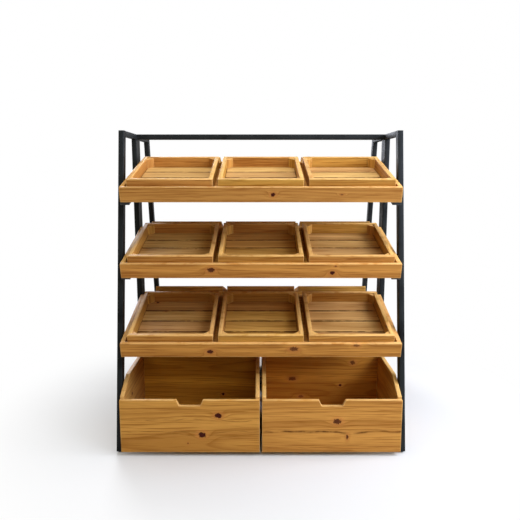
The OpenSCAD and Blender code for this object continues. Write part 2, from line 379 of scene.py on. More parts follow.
class PineKnot(KnotMarks):
    """One knot at a chosen place on a board."""

    title = "pine_knot"
    takes = {"Board": "Vector", "Centre": "Vector", "Radius": "Float", "Stretch": "Float"}
    ragged_scale = 150.0
    ragged_depth = 1.3
    core_span = (1.1, 0.7)
    halo_span = (2.3, 0.95)
    ring_lift = 0.03

    def draw(self, sheet: NodeSheet, given: Sockets) -> Sockets:
        """Draws the knot round its centre.

        Args:
            sheet: The group's own sheet.
            given: The group's inputs by name.

        Returns:
            The core, the halo and the lift.
        """
        along, across, _ = sheet.parts(sheet.vector_math("SUBTRACT", given["Board"], given["Centre"]))
        along = sheet.math("DIVIDE", sheet.math("DIVIDE", along, given["Stretch"]), given["Radius"])
        return self.marks(sheet, along, sheet.math("DIVIDE", across, given["Radius"]), given["Board"])


class LooseKnots(KnotMarks):
    """Knots strewn over the boards that have no chosen ones."""

    title = "loose_knots"
    takes = {"Grain": "Vector", "Share": "Float"}
    ragged_scale = 140.0
    ragged_depth = 0.8
    core_span = (1.1, 0.6)
    halo_span = (2.6, 0.95)
    ring_lift = 0.022
    field_size: ClassVar[Triple] = (0.36, 0.11, 1.0)
    radii: ClassVar[Span] = (0.003, 0.0085)
    stretch: ClassVar[float] = 1.25

    def draw(self, sheet: NodeSheet, given: Sockets) -> Sockets:
        """Draws at most one knot in each field of the board.

        Args:
            sheet: The group's own sheet.
            given: The group's inputs by name.

        Returns:
            The core, the halo and the lift.
        """
        field_l, field_w, _ = self.field_size
        spot = sheet.vector_math("MULTIPLY", given["Grain"], (1.0 / field_l, 1.0 / field_w, 0.0))
        fields = {"Vector": spot, "Scale": 1.0}
        cells = sheet.add("ShaderNodeTexVoronoi", fields, voronoi_dimensions="2D").outputs
        away = sheet.vector_math("SUBTRACT", spot, cells["Position"])
        along, across, _ = sheet.parts(sheet.vector_math("MULTIPLY", away, self.field_size))
        chance, size, _ = sheet.add("ShaderNodeSeparateColor", {0: cells["Color"]}).outputs
        there = sheet.math("GREATER_THAN", given["Share"], chance)
        radius = sheet.span(size, (0.0, 1.0), *self.radii)
        along = sheet.math("DIVIDE", sheet.math("DIVIDE", along, self.stretch), radius)
        found = self.marks(sheet, along, sheet.math("DIVIDE", across, radius), given["Grain"])
        return {name: sheet.times(mark, there) for name, mark in found.items()}


class GrainStreak(SharedEffect):
    """One long dark line that wanders along a board."""

    title = "grain_streak"
    takes = {"Board": "Vector", "Offset": "Float", "Width": "Float"}
    gives = ("Mask",)
    lane_gap: ClassVar[float] = 31.0
    wander_scale: ClassVar[float] = 6.5
    wander_depth: ClassVar[float] = 0.045
    break_scale: ClassVar[float] = 17.0
    break_span: ClassVar[Span] = (0.34, 0.62)

    def draw(self, sheet: NodeSheet, given: Sockets) -> Sockets:
        """Draws a line whose height and strength change slowly along x.

        Args:
            sheet: The group's own sheet.
            given: The group's inputs by name.

        Returns:
            The mask of the line.
        """
        along, across, _ = sheet.parts(given["Board"])
        lane = sheet.vector(along, sheet.times(given["Offset"], self.lane_gap), 0.0)
        wander = sheet.swing(lane, detail=2.0, scale=self.wander_scale)
        line = sheet.math("MULTIPLY_ADD", wander, self.wander_depth, given["Offset"])
        apart = sheet.math("DIVIDE", sheet.math("SUBTRACT", across, line), given["Width"])
        close = sheet.math("EXPONENT", sheet.times(sheet.times(apart, apart), -1.0))
        breaks = sheet.noise(lane, detail=3.0, scale=self.break_scale)
        return {"Mask": sheet.times(close, sheet.span(breaks, self.break_span))}


class EdgePatches(SharedEffect):
    """Patchy marks along the edges of boards and tubes: wear on the coats and skins; on the pine, rubbed wear
    with a painted highlight, and painted shade on the slats.
    """

    title = "rubbed_edges"
    takes = {"Edge": "Float", "Place": "Vector", "Patch Scale": "Float"}
    gives = ("Mask",)
    edge_power: ClassVar[float] = 1.6
    patch_span: ClassVar[Span] = (0.22, 0.56)

    def draw(self, sheet: NodeSheet, given: Sockets) -> Sockets:
        """Breaks the even edge mark up with noise.

        Args:
            sheet: The group's own sheet.
            given: The group's inputs by name.

        Returns:
            The mask of the patchy edge marks.
        """
        patch = sheet.noise(given["Place"], detail=3.0, scale=given["Patch Scale"])
        close = sheet.math("POWER", given["Edge"], self.edge_power)
        return {"Mask": sheet.times(close, sheet.span(patch, self.patch_span, smooth=True))}


class FineSpeckle(SharedEffect):
    """Orange peel of a coating or a moulded skin, with broad smudges from hands."""

    title = "fine_speckle"
    takes = {"Place": "Vector", "Grain Scale": "Float"}
    gives = ("Peel", "Smudge")
    smudge_scale: ClassVar[float] = 7.0
    smudge_span: ClassVar[Span] = (0.3, 0.7)

    def draw(self, sheet: NodeSheet, given: Sockets) -> Sockets:
        """Draws one fine noise and one broad one.

        Args:
            sheet: The group's own sheet.
            given: The group's inputs by name.

        Returns:
            The peel and the smudges.
        """
        smudge = sheet.noise(given["Place"], detail=4.0, scale=self.smudge_scale)
        return {
            "Peel": sheet.noise(given["Place"], detail=1.0, scale=given["Grain Scale"]),
            "Smudge": sheet.span(smudge, self.smudge_span, smooth=True),
        }


@dataclass(frozen=True)
class Finish:
    """A finish that is made into one material."""

    title: str

    def dress(self, sheet: NodeSheet, shader: Node) -> None:
        """Fills the shader.

        Args:
            sheet: The material's sheet.
            shader: Its Principled shader.
        """
        raise NotImplementedError

    def material(self) -> bpy.types.Material:
        """Gives the material, and builds it the first time.

        Returns:
            The material.
        """
        known = bpy.data.materials.get(self.title)
        if known:
            return known
        made = bpy.data.materials.new(self.title)
        made.use_nodes = True
        sheet = NodeSheet(made.node_tree)
        shader = sheet.add("ShaderNodeBsdfPrincipled")
        sheet.add("ShaderNodeOutputMaterial", {"Surface": shader.outputs[0]})
        self.dress(sheet, shader)
        return made


@dataclass(frozen=True)
class Knot:
    """A knot at a chosen place, from the board's middle, in metres."""

    along: float
    across: float
    radius: float = 0.0105
    stretch: float = 1.25
    depth: float = 1.0


@dataclass(frozen=True)
class Streak:
    """A dark grain line on a board, from the board's middle, in metres."""

    offset: float
    width: float
    strength: float


@dataclass(frozen=True)
class PineFinish(Finish):
    """Honey stained pine with a thin matt oil."""

    light: Colour = srgb(210, 151, 70)
    dark: Colour = srgb(132, 73, 8)
    halo: Colour = srgb(190, 118, 56)
    core: Colour = srgb(60, 13, 0)
    line: Colour = srgb(76, 36, 4)
    # Colour of the edge rims: paler rubbed wear that also paints a highlight on lit rims; the slats set it
    # dark as painted shade in their gaps.
    bare: Colour = srgb(226, 182, 112)
    knots: tuple[Knot, ...] = ()
    streaks: tuple[Streak, ...] = ()
    loose_share: float = 0.16
    ring_gap: float = 0.014
    contrast: float = 0.68
    drift_span: Span = (0.3, 0.7)
    drift: float = 0.5
    dashes: float = 0.6
    fibre_span: Span = (0.35, 0.75)
    fibres: float = 0.22
    halo_share: float = 0.55
    edge_wear_and_painted_light_share: float = 0.45
    edge_patch_scale: float = 26.0
    hue_span: float = 0.008
    tone_span: float = 0.08
    roughness: float = 0.58
    late_polish: float = 0.1
    specular: float = 0.13
    fibre_rise: float = 0.35
    late_rise: float = 0.5
    bump_strength: float = 0.35
    bump_depth: float = 0.0006

    def dress(self, sheet: NodeSheet, shader: Node) -> None:
        """Lays rings, fibres, knots and edge marks over each other; the edge colour is rubbed wear with a
        painted highlight on the rims, and painted shade on the slats.

        Args:
            sheet: The material's sheet.
            shader: Its Principled shader.
        """
        grain = sheet.attribute("grain").outputs["Vector"]
        board = sheet.attribute("board").outputs["Vector"]
        knots = self._knots(sheet, grain, board)
        wood = PineRings().place(sheet, Grain=grain, Lift=knots["Lift"], Ring_Gap=self.ring_gap)
        late = sheet.times(wood["Late Wood"], self.contrast)
        colour = self._wood_colour(sheet, wood, late, board)
        colour = sheet.mix(sheet.times(knots["Halo"], self.halo_share), colour, self.halo)
        colour = sheet.mix(knots["Core"], colour, self.core)
        # Edge colour laid on the rims: rubbed wear with a painted highlight, and on the slats painted shade.
        edge = sheet.attribute("edge").outputs["Fac"]
        rubbed = EdgePatches().place(sheet, Edge=edge, Place=grain, Patch_Scale=self.edge_patch_scale)["Mask"]
        colour = sheet.mix(sheet.times(rubbed, self.edge_wear_and_painted_light_share), colour, self.bare)
        rough = sheet.math("MULTIPLY_ADD", late, -self.late_polish, self.roughness)
        height = sheet.math(
            "MULTIPLY_ADD", wood["Fibre"], self.fibre_rise, sheet.times(late, self.late_rise)
        )
        sheet.feed(shader.inputs["Base Color"], colour)
        sheet.feed(shader.inputs["Roughness"], rough)
        sheet.feed(shader.inputs["Normal"], sheet.bump(height, self.bump_strength, self.bump_depth))
        shader.inputs["Specular IOR Level"].default_value = self.specular

    def _knots(self, sheet: NodeSheet, grain: Socket, board: Socket) -> Sockets:
        """Adds the strewn knots and the chosen ones.

        Args:
            sheet: The material's sheet.
            grain: Where a point lies in its trunk.
            board: Where it lies on its board.

        Returns:
            The joined core, halo and lift.
        """
        found = LooseKnots().place(sheet, Grain=grain, Share=0.0 if self.knots else self.loose_share)
        for knot in self.knots:
            one = PineKnot().place(
                sheet,
                Board=board,
                Centre=(knot.along, knot.across, 0.0),
                Radius=knot.radius,
                Stretch=knot.stretch,
            )
            core = sheet.times(one["Core"], knot.depth)
            found = {
                "Core": sheet.math("MAXIMUM", found["Core"], core),
                "Halo": sheet.math("MAXIMUM", found["Halo"], one["Halo"]),
                "Lift": sheet.math("ADD", found["Lift"], one["Lift"]),
            }
        return found

    def _wood_colour(self, sheet: NodeSheet, wood: Sockets, late: Socket, board: Socket) -> Socket:
        """Colours the wood between the knots, with a tone of its own for each board.

        Args:
            sheet: The material's sheet.
            wood: The rings, fibres, drifts and streaks.
            late: How much late wood shows.
            board: Where a point lies on its board.

        Returns:
            The colour.
        """
        colour = sheet.mix(late, self.light, self.dark)
        drift = sheet.span(wood["Drift"], self.drift_span, 0.0, self.drift, smooth=True)
        colour = sheet.mix(drift, colour, self.dark)
        for streak in self.streaks:
            line = GrainStreak().place(sheet, Board=board, Offset=streak.offset, Width=streak.width)["Mask"]
            colour = sheet.mix(sheet.times(line, streak.strength), colour, self.line)
        colour = sheet.mix(sheet.times(wood["Dash"], self.dashes), colour, self.dark)
        colour = sheet.mix(sheet.span(wood["Fibre"], self.fibre_span, 0.0, self.fibres), colour, self.dark)
        tone = sheet.attribute("tone").outputs["Fac"]
        hue = sheet.math("MULTIPLY_ADD", tone, self.hue_span, 0.5)
        value = sheet.math("MULTIPLY_ADD", tone, self.tone_span, 1.0)
        return sheet.add("ShaderNodeHueSaturation", {"Hue": hue, "Value": value, "Color": colour}).outputs[0]


@dataclass(frozen=True)
class HardFinish(Finish):
    """A coat, skin or plating with a fine peel, smudges and rubbed edges."""

    peel_scale: float = 900.0
    patch_scale: float = 9.0
    roughness: float = 0.5
    rough_span: float = 0.12

    def marks(self, sheet: NodeSheet) -> tuple[Sockets, Socket]:
        """Adds the marks of the surface.

        Args:
            sheet: The material's sheet.

        Returns:
            The peel and the smudges, and the mask of the rubbed edges.
        """
        place = sheet.add("ShaderNodeTexCoord").outputs["Object"]
        speckle = FineSpeckle().place(sheet, Place=place, Grain_Scale=self.peel_scale)
        edge = sheet.attribute("edge").outputs["Fac"]
        rubbed = EdgePatches().place(sheet, Edge=edge, Place=place, Patch_Scale=self.patch_scale)
        return speckle, rubbed["Mask"]

    def roughen(self, sheet: NodeSheet, shader: Node, mark: Socket) -> None:
        """Makes the shader rougher where a mark shows."""
        rough = sheet.math("MULTIPLY_ADD", mark, self.rough_span, self.roughness)
        sheet.feed(shader.inputs["Roughness"], rough)


@dataclass(frozen=True)
class CoatedSteelFinish(HardFinish):
    """Black powder coat, satin, a little greyer where hands and boards rub the corners."""

    coat: Colour = srgb(6, 6, 6)
    faded: Colour = srgb(13, 14, 13)
    rubbed: Colour = srgb(42, 45, 44)
    rubbed_share: float = 0.55
    specular: float = 0.12
    peel_strength: float = 0.12
    peel_depth: float = 0.0003

    def dress(self, sheet: NodeSheet, shader: Node) -> None:
        """Lays peel, smudges and rubbed corners on the coat.

        Args:
            sheet: The material's sheet.
            shader: Its Principled shader.
        """
        speckle, mask = self.marks(sheet)
        colour = sheet.mix(speckle["Smudge"], self.coat, self.faded)
        colour = sheet.mix(sheet.times(mask, self.rubbed_share), colour, self.rubbed)
        sheet.feed(shader.inputs["Base Color"], colour)
        self.roughen(sheet, shader, speckle["Smudge"])
        sheet.feed(shader.inputs["Normal"], sheet.bump(speckle["Peel"], self.peel_strength, self.peel_depth))
        shader.inputs["Specular IOR Level"].default_value = self.specular


@dataclass(frozen=True)
class MouldedPlasticFinish(HardFinish):
    """Black moulded plastic with a fine spark-eroded skin and scuffs."""

    peel_scale: float = 1500.0
    patch_scale: float = 60.0
    rough_span: float = 0.16
    skin: Colour = srgb(24, 24, 25)
    scuff: Colour = srgb(58, 58, 58)
    peel_strength: float = 0.25
    peel_depth: float = 0.0002

    def dress(self, sheet: NodeSheet, shader: Node) -> None:
        """Lays the skin's grain and scuffed edges.

        Args:
            sheet: The material's sheet.
            shader: Its Principled shader.
        """
        speckle, mask = self.marks(sheet)
        sheet.feed(shader.inputs["Base Color"], sheet.mix(mask, self.skin, self.scuff))
        self.roughen(sheet, shader, speckle["Smudge"])
        sheet.feed(shader.inputs["Normal"], sheet.bump(speckle["Peel"], self.peel_strength, self.peel_depth))


@dataclass(frozen=True)
class ZincFinish(HardFinish):
    """Bright zinc plating that has dulled in patches."""

    peel_scale: float = 420.0
    patch_scale: float = 90.0
    roughness: float = 0.26
    rough_span: float = 0.2
    bright: Colour = srgb(198, 200, 203)
    dull: Colour = srgb(138, 141, 146)
    dull_span: Span = (0.4, 0.65)

    def dress(self, sheet: NodeSheet, shader: Node) -> None:
        """Lays dull patches on the plating.

        Args:
            sheet: The material's sheet.
            shader: Its Principled shader.
        """
        speckle, mask = self.marks(sheet)
        patch = sheet.span(speckle["Peel"], self.dull_span, smooth=True)
        colour = sheet.mix(patch, self.bright, self.dull)
        sheet.feed(shader.inputs["Base Color"], sheet.mix(mask, colour, self.bright))
        self.roughen(sheet, shader, patch)
        shader.inputs["Metallic"].default_value = 1.0


STEEL = CoatedSteelFinish("black_powder_coat")
PLASTIC = MouldedPlasticFinish("black_moulded_plastic")
ZINC = ZincFinish("zinc_plating")
TRAY_PINE = PineFinish("tray_board_wood")
# Each tray front has its own pale wood colour, lighter on the middle tray and darker on the top one: painted
# light for how brightly each level is lit. The knots are the boards' own.
TRAY_FRONT_PINE = {
    Level.LOW: PineFinish(
        "tray_low_front_wood",
        light=srgb(209, 150, 67),
        knots=(
            Knot(-0.222, -0.006, 0.0105, 1.5, 0.95),
            Knot(0.144, 0.008, 0.0122, 1.6, 0.8),
            Knot(0.416, 0.026, 0.008, 1.8, 0.6),
        ),
    ),
    Level.MIDDLE: PineFinish(
        "tray_middle_front_wood",
        light=srgb(215, 155, 71),
        knots=(
            Knot(-0.218, 0.006, 0.0118, 1.4, 0.9),
            Knot(0.313, -0.008, 0.0095),
            Knot(0.326, 0.024, 0.0036, 1.6, 0.7),
        ),
    ),
    Level.TOP: PineFinish(
        "tray_top_front_wood",
        light=srgb(200, 145, 70),
        knots=(Knot(0.053, 0.0, 0.0088), Knot(0.352, 0.001, 0.0036, 2.0, 0.7)),
    ),
}
CRATE_PINE = PineFinish(
    "crate_wall_wood",
    light=srgb(204, 149, 70),
    dark=srgb(130, 75, 13),
    loose_share=0.12,
    ring_gap=0.012,
    dashes=0.7,
)
# Slat wood with painted light: a dark rim along each slat is painted shade for the gaps between slats, and
# the paler, less saturated wood is partly the slats' own colour and partly a painted sheen of the lit slats.
SLAT_PINE_PAINTED_LIGHT = PineFinish(
    "crate_slat_wood",
    light=srgb(212, 168, 100),
    dark=srgb(142, 92, 34),
    bare=srgb(62, 30, 6),
    loose_share=0.12,
    ring_gap=0.012,
    dashes=0.75,
    contrast=1.0,
    edge_wear_and_painted_light_share=0.95,
    tone_span=0.12,
)
# A darker copy of the slat wood: painted shade for the centre crates that sit under another tray.
SHADED_SLAT_PINE = replace(
    SLAT_PINE_PAINTED_LIGHT, title="crate_dark_slat_wood", light=srgb(198, 148, 76), dark=srgb(132, 82, 25)
)
# The bin panels' wood is lighter than the other pine: painted light standing in for the light that reaches
# the bins' inner walls under the trays.
LIT_BIN_PINE = PineFinish(
    "bin_panel_wood",
    light=srgb(222, 166, 86),
    dark=srgb(148, 90, 22),
    loose_share=0.1,
    ring_gap=0.021,
)
BIN_FRONT_PINE = {
    Side.LEFT: PineFinish(
        "bin_left_front_wood",
        knots=(
            Knot(0.126, 0.051, 0.0125),
            Knot(0.054, -0.039, 0.0145),
            Knot(-0.01, -0.080, 0.005, 0.6),
        ),
        streaks=(Streak(0.031, 0.0018, 0.6), Streak(-0.025, 0.0018, 0.6), Streak(-0.041, 0.0018, 0.55)),
        ring_gap=0.021,
    ),
    Side.RIGHT: PineFinish(
        "bin_right_front_wood",
        knots=(Knot(0.023, 0.024, 0.0132, 1.4, 0.9), Knot(0.069, -0.048, 0.0125, 0.42, 0.9)),
        streaks=(Streak(-0.025, 0.0042, 1.0), Streak(-0.015, 0.0014, 0.5), Streak(-0.095, 0.0014, 0.5)),
        ring_gap=0.021,
    ),
}
LEFT_BIN_BACK_PINE = PineFinish(
    "bin_left_back_wood",
    light=srgb(220, 157, 58),
    dark=srgb(140, 80, 8),
    knots=(Knot(0.118, -0.066, 0.0075),),
    ring_gap=0.021,
)
BIN_BACK_PINE = {
    Side.LEFT: LEFT_BIN_BACK_PINE,
    Side.RIGHT: replace(
        LEFT_BIN_BACK_PINE,
        title="bin_right_back_wood",
        knots=(
            Knot(0.160, 0.105, 0.011, 1.25, 0.75),
            Knot(-0.151, 0.018, 0.0112, 1.8, 0.75),
            Knot(0.098, -0.017, 0.007),
            Knot(-0.105, -0.079, 0.008, 1.6, 0.6),
        ),
    ),
}


@dataclass(frozen=True)
class StandSizes:
    """The sizes that the stand's pieces share, in metres."""

    frame_w: float = 1.300
    frame_h: float = 1.438
    leg_top_reach: float = 0.289
    leg_floor_reach: float = 0.555
    tube: float = 0.025
    tube_d: float = 0.040
    wall: float = 0.002
    foot_h: float = 0.009
    tilt: float = math.radians(15)
    tray_height_shares: tuple[float, ...] = (0.3103, 0.5486, 0.7783)
    tray_gaps: tuple[float, ...] = (0.092, 0.037, 0.001)
    rear_drops: tuple[float, ...] = (0.032, 0.008, 0.0)
    tray_side_clear: float = 0.010
    tray_l: float = 0.460
    tray_board: float = 0.018
    tray_h: float = 0.068
    tray_floor: float = 0.012
    cleat_h: float = 0.026
    rail_w: float = 0.040
    rail_h: float = 0.025
    rail_setback: float = 0.040
    rail_back_gap: float = 0.002
    glue: float = 0.0002

    @property
    def inner_x(self) -> float:
        """From the middle to the inner face of a side frame."""
        return self.frame_w / 2 - self.tube

    @property
    def tube_x(self) -> float:
        """From the middle to the middle of a side frame."""
        return self.frame_w / 2 - self.tube / 2

    @property
    def tray_w(self) -> float:
        """Width of a tray between the side frames."""
        return 2 * (self.inner_x - self.tray_side_clear)

    @property
    def leg_run(self) -> float:
        """How far a leg leans for each metre of height."""
        return (self.leg_floor_reach - self.leg_top_reach) / self.frame_h

    @property
    def leg_depth(self) -> float:
        """Depth of a slanted leg, measured level."""
        return self.tube_d * math.hypot(1.0, self.leg_run)

    @property
    def leg_lean(self) -> Matrix:
        """Shears an upright tube to a leg's slant."""
        return Matrix.Shear("XY", 4, (0.0, self.leg_run))

    @property
    def post_top(self) -> float:
        """Height of the top of a post, under the top bar."""
        return self.frame_h - self.tube

    def leg_face(self, height: float) -> float:
        """Y of the outer face of a front leg at a height."""
        return -self.leg_top_reach - self.leg_run * (self.frame_h - height)

    def tray_front(self, level: Level) -> float:
        """From the middle plane to a tray's lower front edge."""
        return self.tray_gaps[level.value] + self.tray_l * math.cos(self.tilt)

    def rail_l(self, level: Level) -> float:
        """Length of a rail."""
        reach = self.tray_front(level) - self.rail_back_gap - self.rail_h * math.sin(self.tilt)
        return reach / math.cos(self.tilt) - self.rail_setback

    def turned(self, half: Half, side: Side = Side.RIGHT) -> Matrix:
        """Turns the front right corner of the stand into another one.

        Args:
            half: The front or the rear half.
            side: The left or the right end.

        Returns:
            A matrix that mirrors what it needs to.
        """
        flip_x = -1.0 if side is Side.LEFT else 1.0
        flip_y = -1.0 if half is Half.REAR else 1.0
        return Matrix.Diagonal((flip_x, flip_y, 1.0, 1.0))

    def slope(self, half: Half, level: Level, side: Side = Side.RIGHT) -> Matrix:
        """Frame of a tray: y runs up the slope from the lower front edge, z stands square on it.

        Args:
            half: The front or the rear half.
            level: Which tray.
            side: The left or the right end.

        Returns:
            The matrix from the tray's frame to the stand's.
        """
        height = self.tray_height_shares[level.value] * self.frame_h
        if half is Half.REAR:
            height -= self.rear_drops[level.value]
        lower_edge = Matrix.Translation((0.0, -self.tray_front(level), height))
        return self.turned(half, side) @ lower_edge @ Matrix.Rotation(self.tilt, 4, "X")

    def tray_ends(self) -> Iterator[Matrix]:
        """Goes through the frames of both ends of every tray."""
        return (self.slope(half, level, side) for half in Half for side in Side for level in Level)


class PieceMesh:
    """Gathers softened solids in one mesh, each with its own grain, tone and edge marks."""

    # Softened edges, and the rims beside them that wear and painted light can reach.
    edge_soft: ClassVar[float] = 0.0013
    edge_steps: ClassVar[int] = 2
    tube_corner_share: ClassVar[float] = 1.25
    tube_corner_steps: ClassVar[int] = 3
    board_rim: ClassVar[float] = 0.0035
    tube_rim: ClassVar[float] = 0.004
    turned_rim: ClassVar[float] = 0.0008
    # Edges that bend more than these are softened, or shaded sharp.
    panel_bend: ClassVar[float] = math.radians(25)
    turned_bend: ClassVar[float] = math.radians(35)
    sharp_bend: ClassVar[float] = math.radians(48)
    # A face gets a rim if it is this many rims wide, and still faces the way it did before softening.
    rim_room: ClassVar[float] = 5.5
    same_way: ClassVar[float] = 0.9995
    end_way: ClassVar[float] = 0.9
    merge_gap: ClassVar[float] = 1e-6
    # Where in a trunk a board may be sawn.
    pith_angles: ClassVar[Span] = (0.35, 1.25)
    pith_distances: ClassVar[Span] = (0.05, 0.11)
    trunk_l: ClassVar[float] = 40.0

    def __init__(self, title: str) -> None:
        """Starts an empty piece whose chance numbers come from its name."""
        self.title = title
        self.chance = random.Random(title)
        self.whole = bmesh.new()

    def board(
        self,
        low: Sequence[float],
        size: Sequence[float],
        place: Matrix,
        fibre: Fibre,
        slot: int = 0,
        soft: float = edge_soft,
    ) -> None:
        """Adds a board with softened edges.

        Args:
            low: Its lowest corner.
            size: Its sizes.
            place: The frame that these are given in.
            fibre: The axis that the wood fibres follow.
            slot: Which of the piece's finishes it takes.
            soft: Radius of its edges.
        """
        part = self._block(size, Vector(low) + Vector(size) / 2)
        self._soften(part, part.edges[:], soft, self.edge_steps, self.board_rim)
        self._join(part, place, fibre, slot)

    def panel(
        self,
        outline: Outline,
        thickness: float,
        place: Matrix,
        fibre: Fibre,
        slot: int = 0,
        soft: float = edge_soft,
    ) -> None:
        """Adds a panel of any outline, drawn in x and y and thick along z.

        Args:
            outline: Its corners in order.
            thickness: Its thickness.
            place: The frame that these are given in.
            fibre: The axis that the wood fibres follow.
            slot: Which of the piece's finishes it takes.
            soft: Radius of its edges.
        """
        part = bmesh.new()
        face = part.faces.new([part.verts.new((x, y, 0.0)) for x, y in outline])
        grown = bmesh.ops.extrude_face_region(part, geom=[face])
        raised = [item for item in grown["geom"] if isinstance(item, bmesh.types.BMVert)]
        bmesh.ops.translate(part, vec=(0.0, 0.0, thickness), verts=raised)
        bmesh.ops.recalc_face_normals(part, faces=part.faces[:])
        bends = [edge for edge in part.edges if edge.calc_face_angle(0.0) > self.panel_bend]
        self._soften(part, bends, soft, self.edge_steps, self.board_rim)
        self._join(part, place, fibre, slot)

    def tube(self, size: Span, length: float, wall: float, place: Matrix, closed_top: bool = False) -> None:
        """Adds a hollow tube with rounded corners along z, its lower end at the origin.

        Args:
            size: Its width in x and in y.
            length: Its length.
            wall: Its wall.
            place: The frame that it is given in.
            closed_top: Whether its upper end has a plate.
        """
        part = self._block((size[0], size[1], length), (0.0, 0.0, length / 2))
        upright = [edge for edge in part.edges if abs(edge.verts[0].co.z - edge.verts[1].co.z) > length / 2]
        self._soften(part, upright, self.tube_corner_share * wall, self.tube_corner_steps, self.tube_rim)
        open_ends = [
            face
            for face in part.faces
            if abs(face.normal.z) > self.end_way and not (closed_top and face.normal.z > 0)
        ]
        bmesh.ops.delete(part, geom=open_ends, context="FACES")
        bmesh.ops.solidify(part, geom=part.faces[:], thickness=wall)
        self._join(part, place, Fibre.Z)

    def turned_part(self, profile: Outline, place: Matrix, steps: int = 32, soft: float = 0.0) -> None:
        """Adds a round part that is turned about z.

        Args:
            profile: Radius and height of each corner, from the axis at one end to the axis at the other.
            place: The frame that it is given in.
            steps: How many faces go round, 6 for a hexagon.
            soft: Radius of the edges that run round it.
        """
        part = bmesh.new()
        points = [part.verts.new((radius, 0.0, height)) for radius, height in profile]
        line = [part.edges.new(pair) for pair in zip(points, points[1:])]
        bmesh.ops.spin(
            part,
            geom=points + line,
            cent=(0.0, 0.0, 0.0),
            axis=(0.0, 0.0, 1.0),
            angle=math.tau,
            steps=steps,
            use_merge=True,
        )
        bmesh.ops.remove_doubles(part, verts=part.verts[:], dist=self.merge_gap)
        bmesh.ops.recalc_face_normals(part, faces=part.faces[:])
        sharp = [edge for edge in part.edges if edge.calc_face_angle(0.0) > self.turned_bend]
        self._soften(part, sharp if soft else [], soft, self.edge_steps, self.turned_rim)
        self._join(part, place, Fibre.Z)

    def moved(self, place: Matrix) -> None:
        """Moves the whole piece, and keeps its faces pointing outwards."""
        self._move(self.whole, place)

    @staticmethod
    def _block(size: Sequence[float], middle: Sequence[float]) -> bmesh.types.BMesh:
        """Starts a solid as a plain block.

        Args:
            size: Its sizes.
            middle: Its middle.

        Returns:
            The block.
        """
        part = bmesh.new()
        bmesh.ops.create_cube(part, size=1.0)
        bmesh.ops.scale(part, vec=size, verts=part.verts)
        bmesh.ops.translate(part, vec=middle, verts=part.verts)
        return part

    @staticmethod
    def _move(part: bmesh.types.BMesh, place: Matrix) -> None:
        """Moves a solid, and turns its faces over if the move mirrors it.

        Args:
            part: The solid.
            place: The frame that it is given in.
        """
        bmesh.ops.transform(part, matrix=place, verts=part.verts)
        if place.determinant() < 0:
            bmesh.ops.reverse_faces(part, faces=part.faces[:])

    def _soften(
        self,
        part: bmesh.types.BMesh,
        edges: list[bmesh.types.BMEdge],
        soft: float,
        steps: int,
        rim: float,
    ) -> None:
        """Rounds edges, and marks the rims beside them so that edge wear and painted light can follow them.

        Args:
            part: The solid.
            edges: The edges to round.
            soft: Their radius.
            steps: How many strips round an edge has.
            rim: How wide the rim beside an edge is.
        """
        flat_ways = [face.normal.copy() for face in part.faces]
        if edges:
            bmesh.ops.bevel(
                part,
                geom=edges,
                offset=soft,
                offset_type="OFFSET",
                affect="EDGES",
                segments=steps,
                profile=0.5,
                material=-1,
                clamp_overlap=True,
            )
        part.normal_update()
        roomy = [
            face
            for face in part.faces
            if face.calc_area() > self.rim_room * rim * max(edge.calc_length() for edge in face.edges)
            and any(face.normal.dot(way) > self.same_way for way in flat_ways)
        ]
        if roomy:
            bmesh.ops.inset_individual(part, faces=roomy, thickness=rim, use_even_offset=True)
        mark = part.verts.layers.float.new("edge")
        for vertex in part.verts:
            vertex[mark] = 1.0 if edges else 0.0
        for face in roomy:
            for vertex in face.verts:
                vertex[mark] = 0.0

    def _join(self, part: bmesh.types.BMesh, place: Matrix, fibre: Fibre, slot: int = 0) -> None:
        """Writes a solid's grain and tone, puts it in place and adds it to the piece.

        Args:
            part: The solid, in its own frame.
            place: The frame that it is given in.
            fibre: The axis that the wood fibres follow.
            slot: Which of the piece's finishes it takes.
        """
        low = Vector(min(v.co[axis] for v in part.verts) for axis in range(3))
        high = Vector(max(v.co[axis] for v in part.verts) for axis in range(3))
        middle, size = (low + high) / 2, high - low
        others = sorted({0, 1, 2} - {fibre.value}, key=lambda axis: -size[axis])
        order = (fibre.value, others[0], others[1])
        start = self._trunk_start()
        tone = self.chance.uniform(-1.0, 1.0)
        grain, board = (part.verts.layers.float_vector.new(name) for name in ("grain", "board"))
        shade = part.verts.layers.float.new("tone")
        for vertex in part.verts:
            local = vertex.co - middle
            vertex[board] = Vector(local[axis] for axis in order)
            vertex[grain] = vertex[board] + start
            vertex[shade] = tone
        for face in part.faces:
            face.material_index = slot
            face.smooth = True
        self._move(part, place)
        stored = bpy.data.meshes.new("part")
        part.to_mesh(stored)
        part.free()
        self.whole.from_mesh(stored)
        bpy.data.meshes.remove(stored)

    def _trunk_start(self) -> Vector:
        """Picks where in its trunk a board was sawn.

        Returns:
            The board's middle, from the trunk's middle line.
        """
        angle = self.chance.uniform(*self.pith_angles)
        distance = self.chance.uniform(*self.pith_distances)
        along = self.chance.uniform(0.0, self.trunk_l)
        across = math.cos(angle) * distance * self.chance.choice((-1.0, 1.0))
        return Vector((along, across, math.sin(angle) * distance))

    def make(self, finishes: Sequence[Finish], body: str, node: str) -> None:
        """Makes the object, dresses it and lets it ride on its body.

        Args:
            finishes: The finishes of its slots.
            body: The body that it moves with.
            node: The CAD node that it stands for.
        """
        mesh = bpy.data.meshes.new(self.title)
        self.whole.to_mesh(mesh)
        self.whole.free()
        mesh.set_sharp_from_angle(angle=self.sharp_bend)
        for finish in finishes:
            mesh.materials.append(finish.material())
        piece = bpy.data.objects.new(self.title, mesh)
        bpy.context.scene.collection.objects.link(piece)
        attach(piece, body)
        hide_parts(node)
        LOG.info("%s: %d faces on %s", self.title, len(mesh.polygons), body)


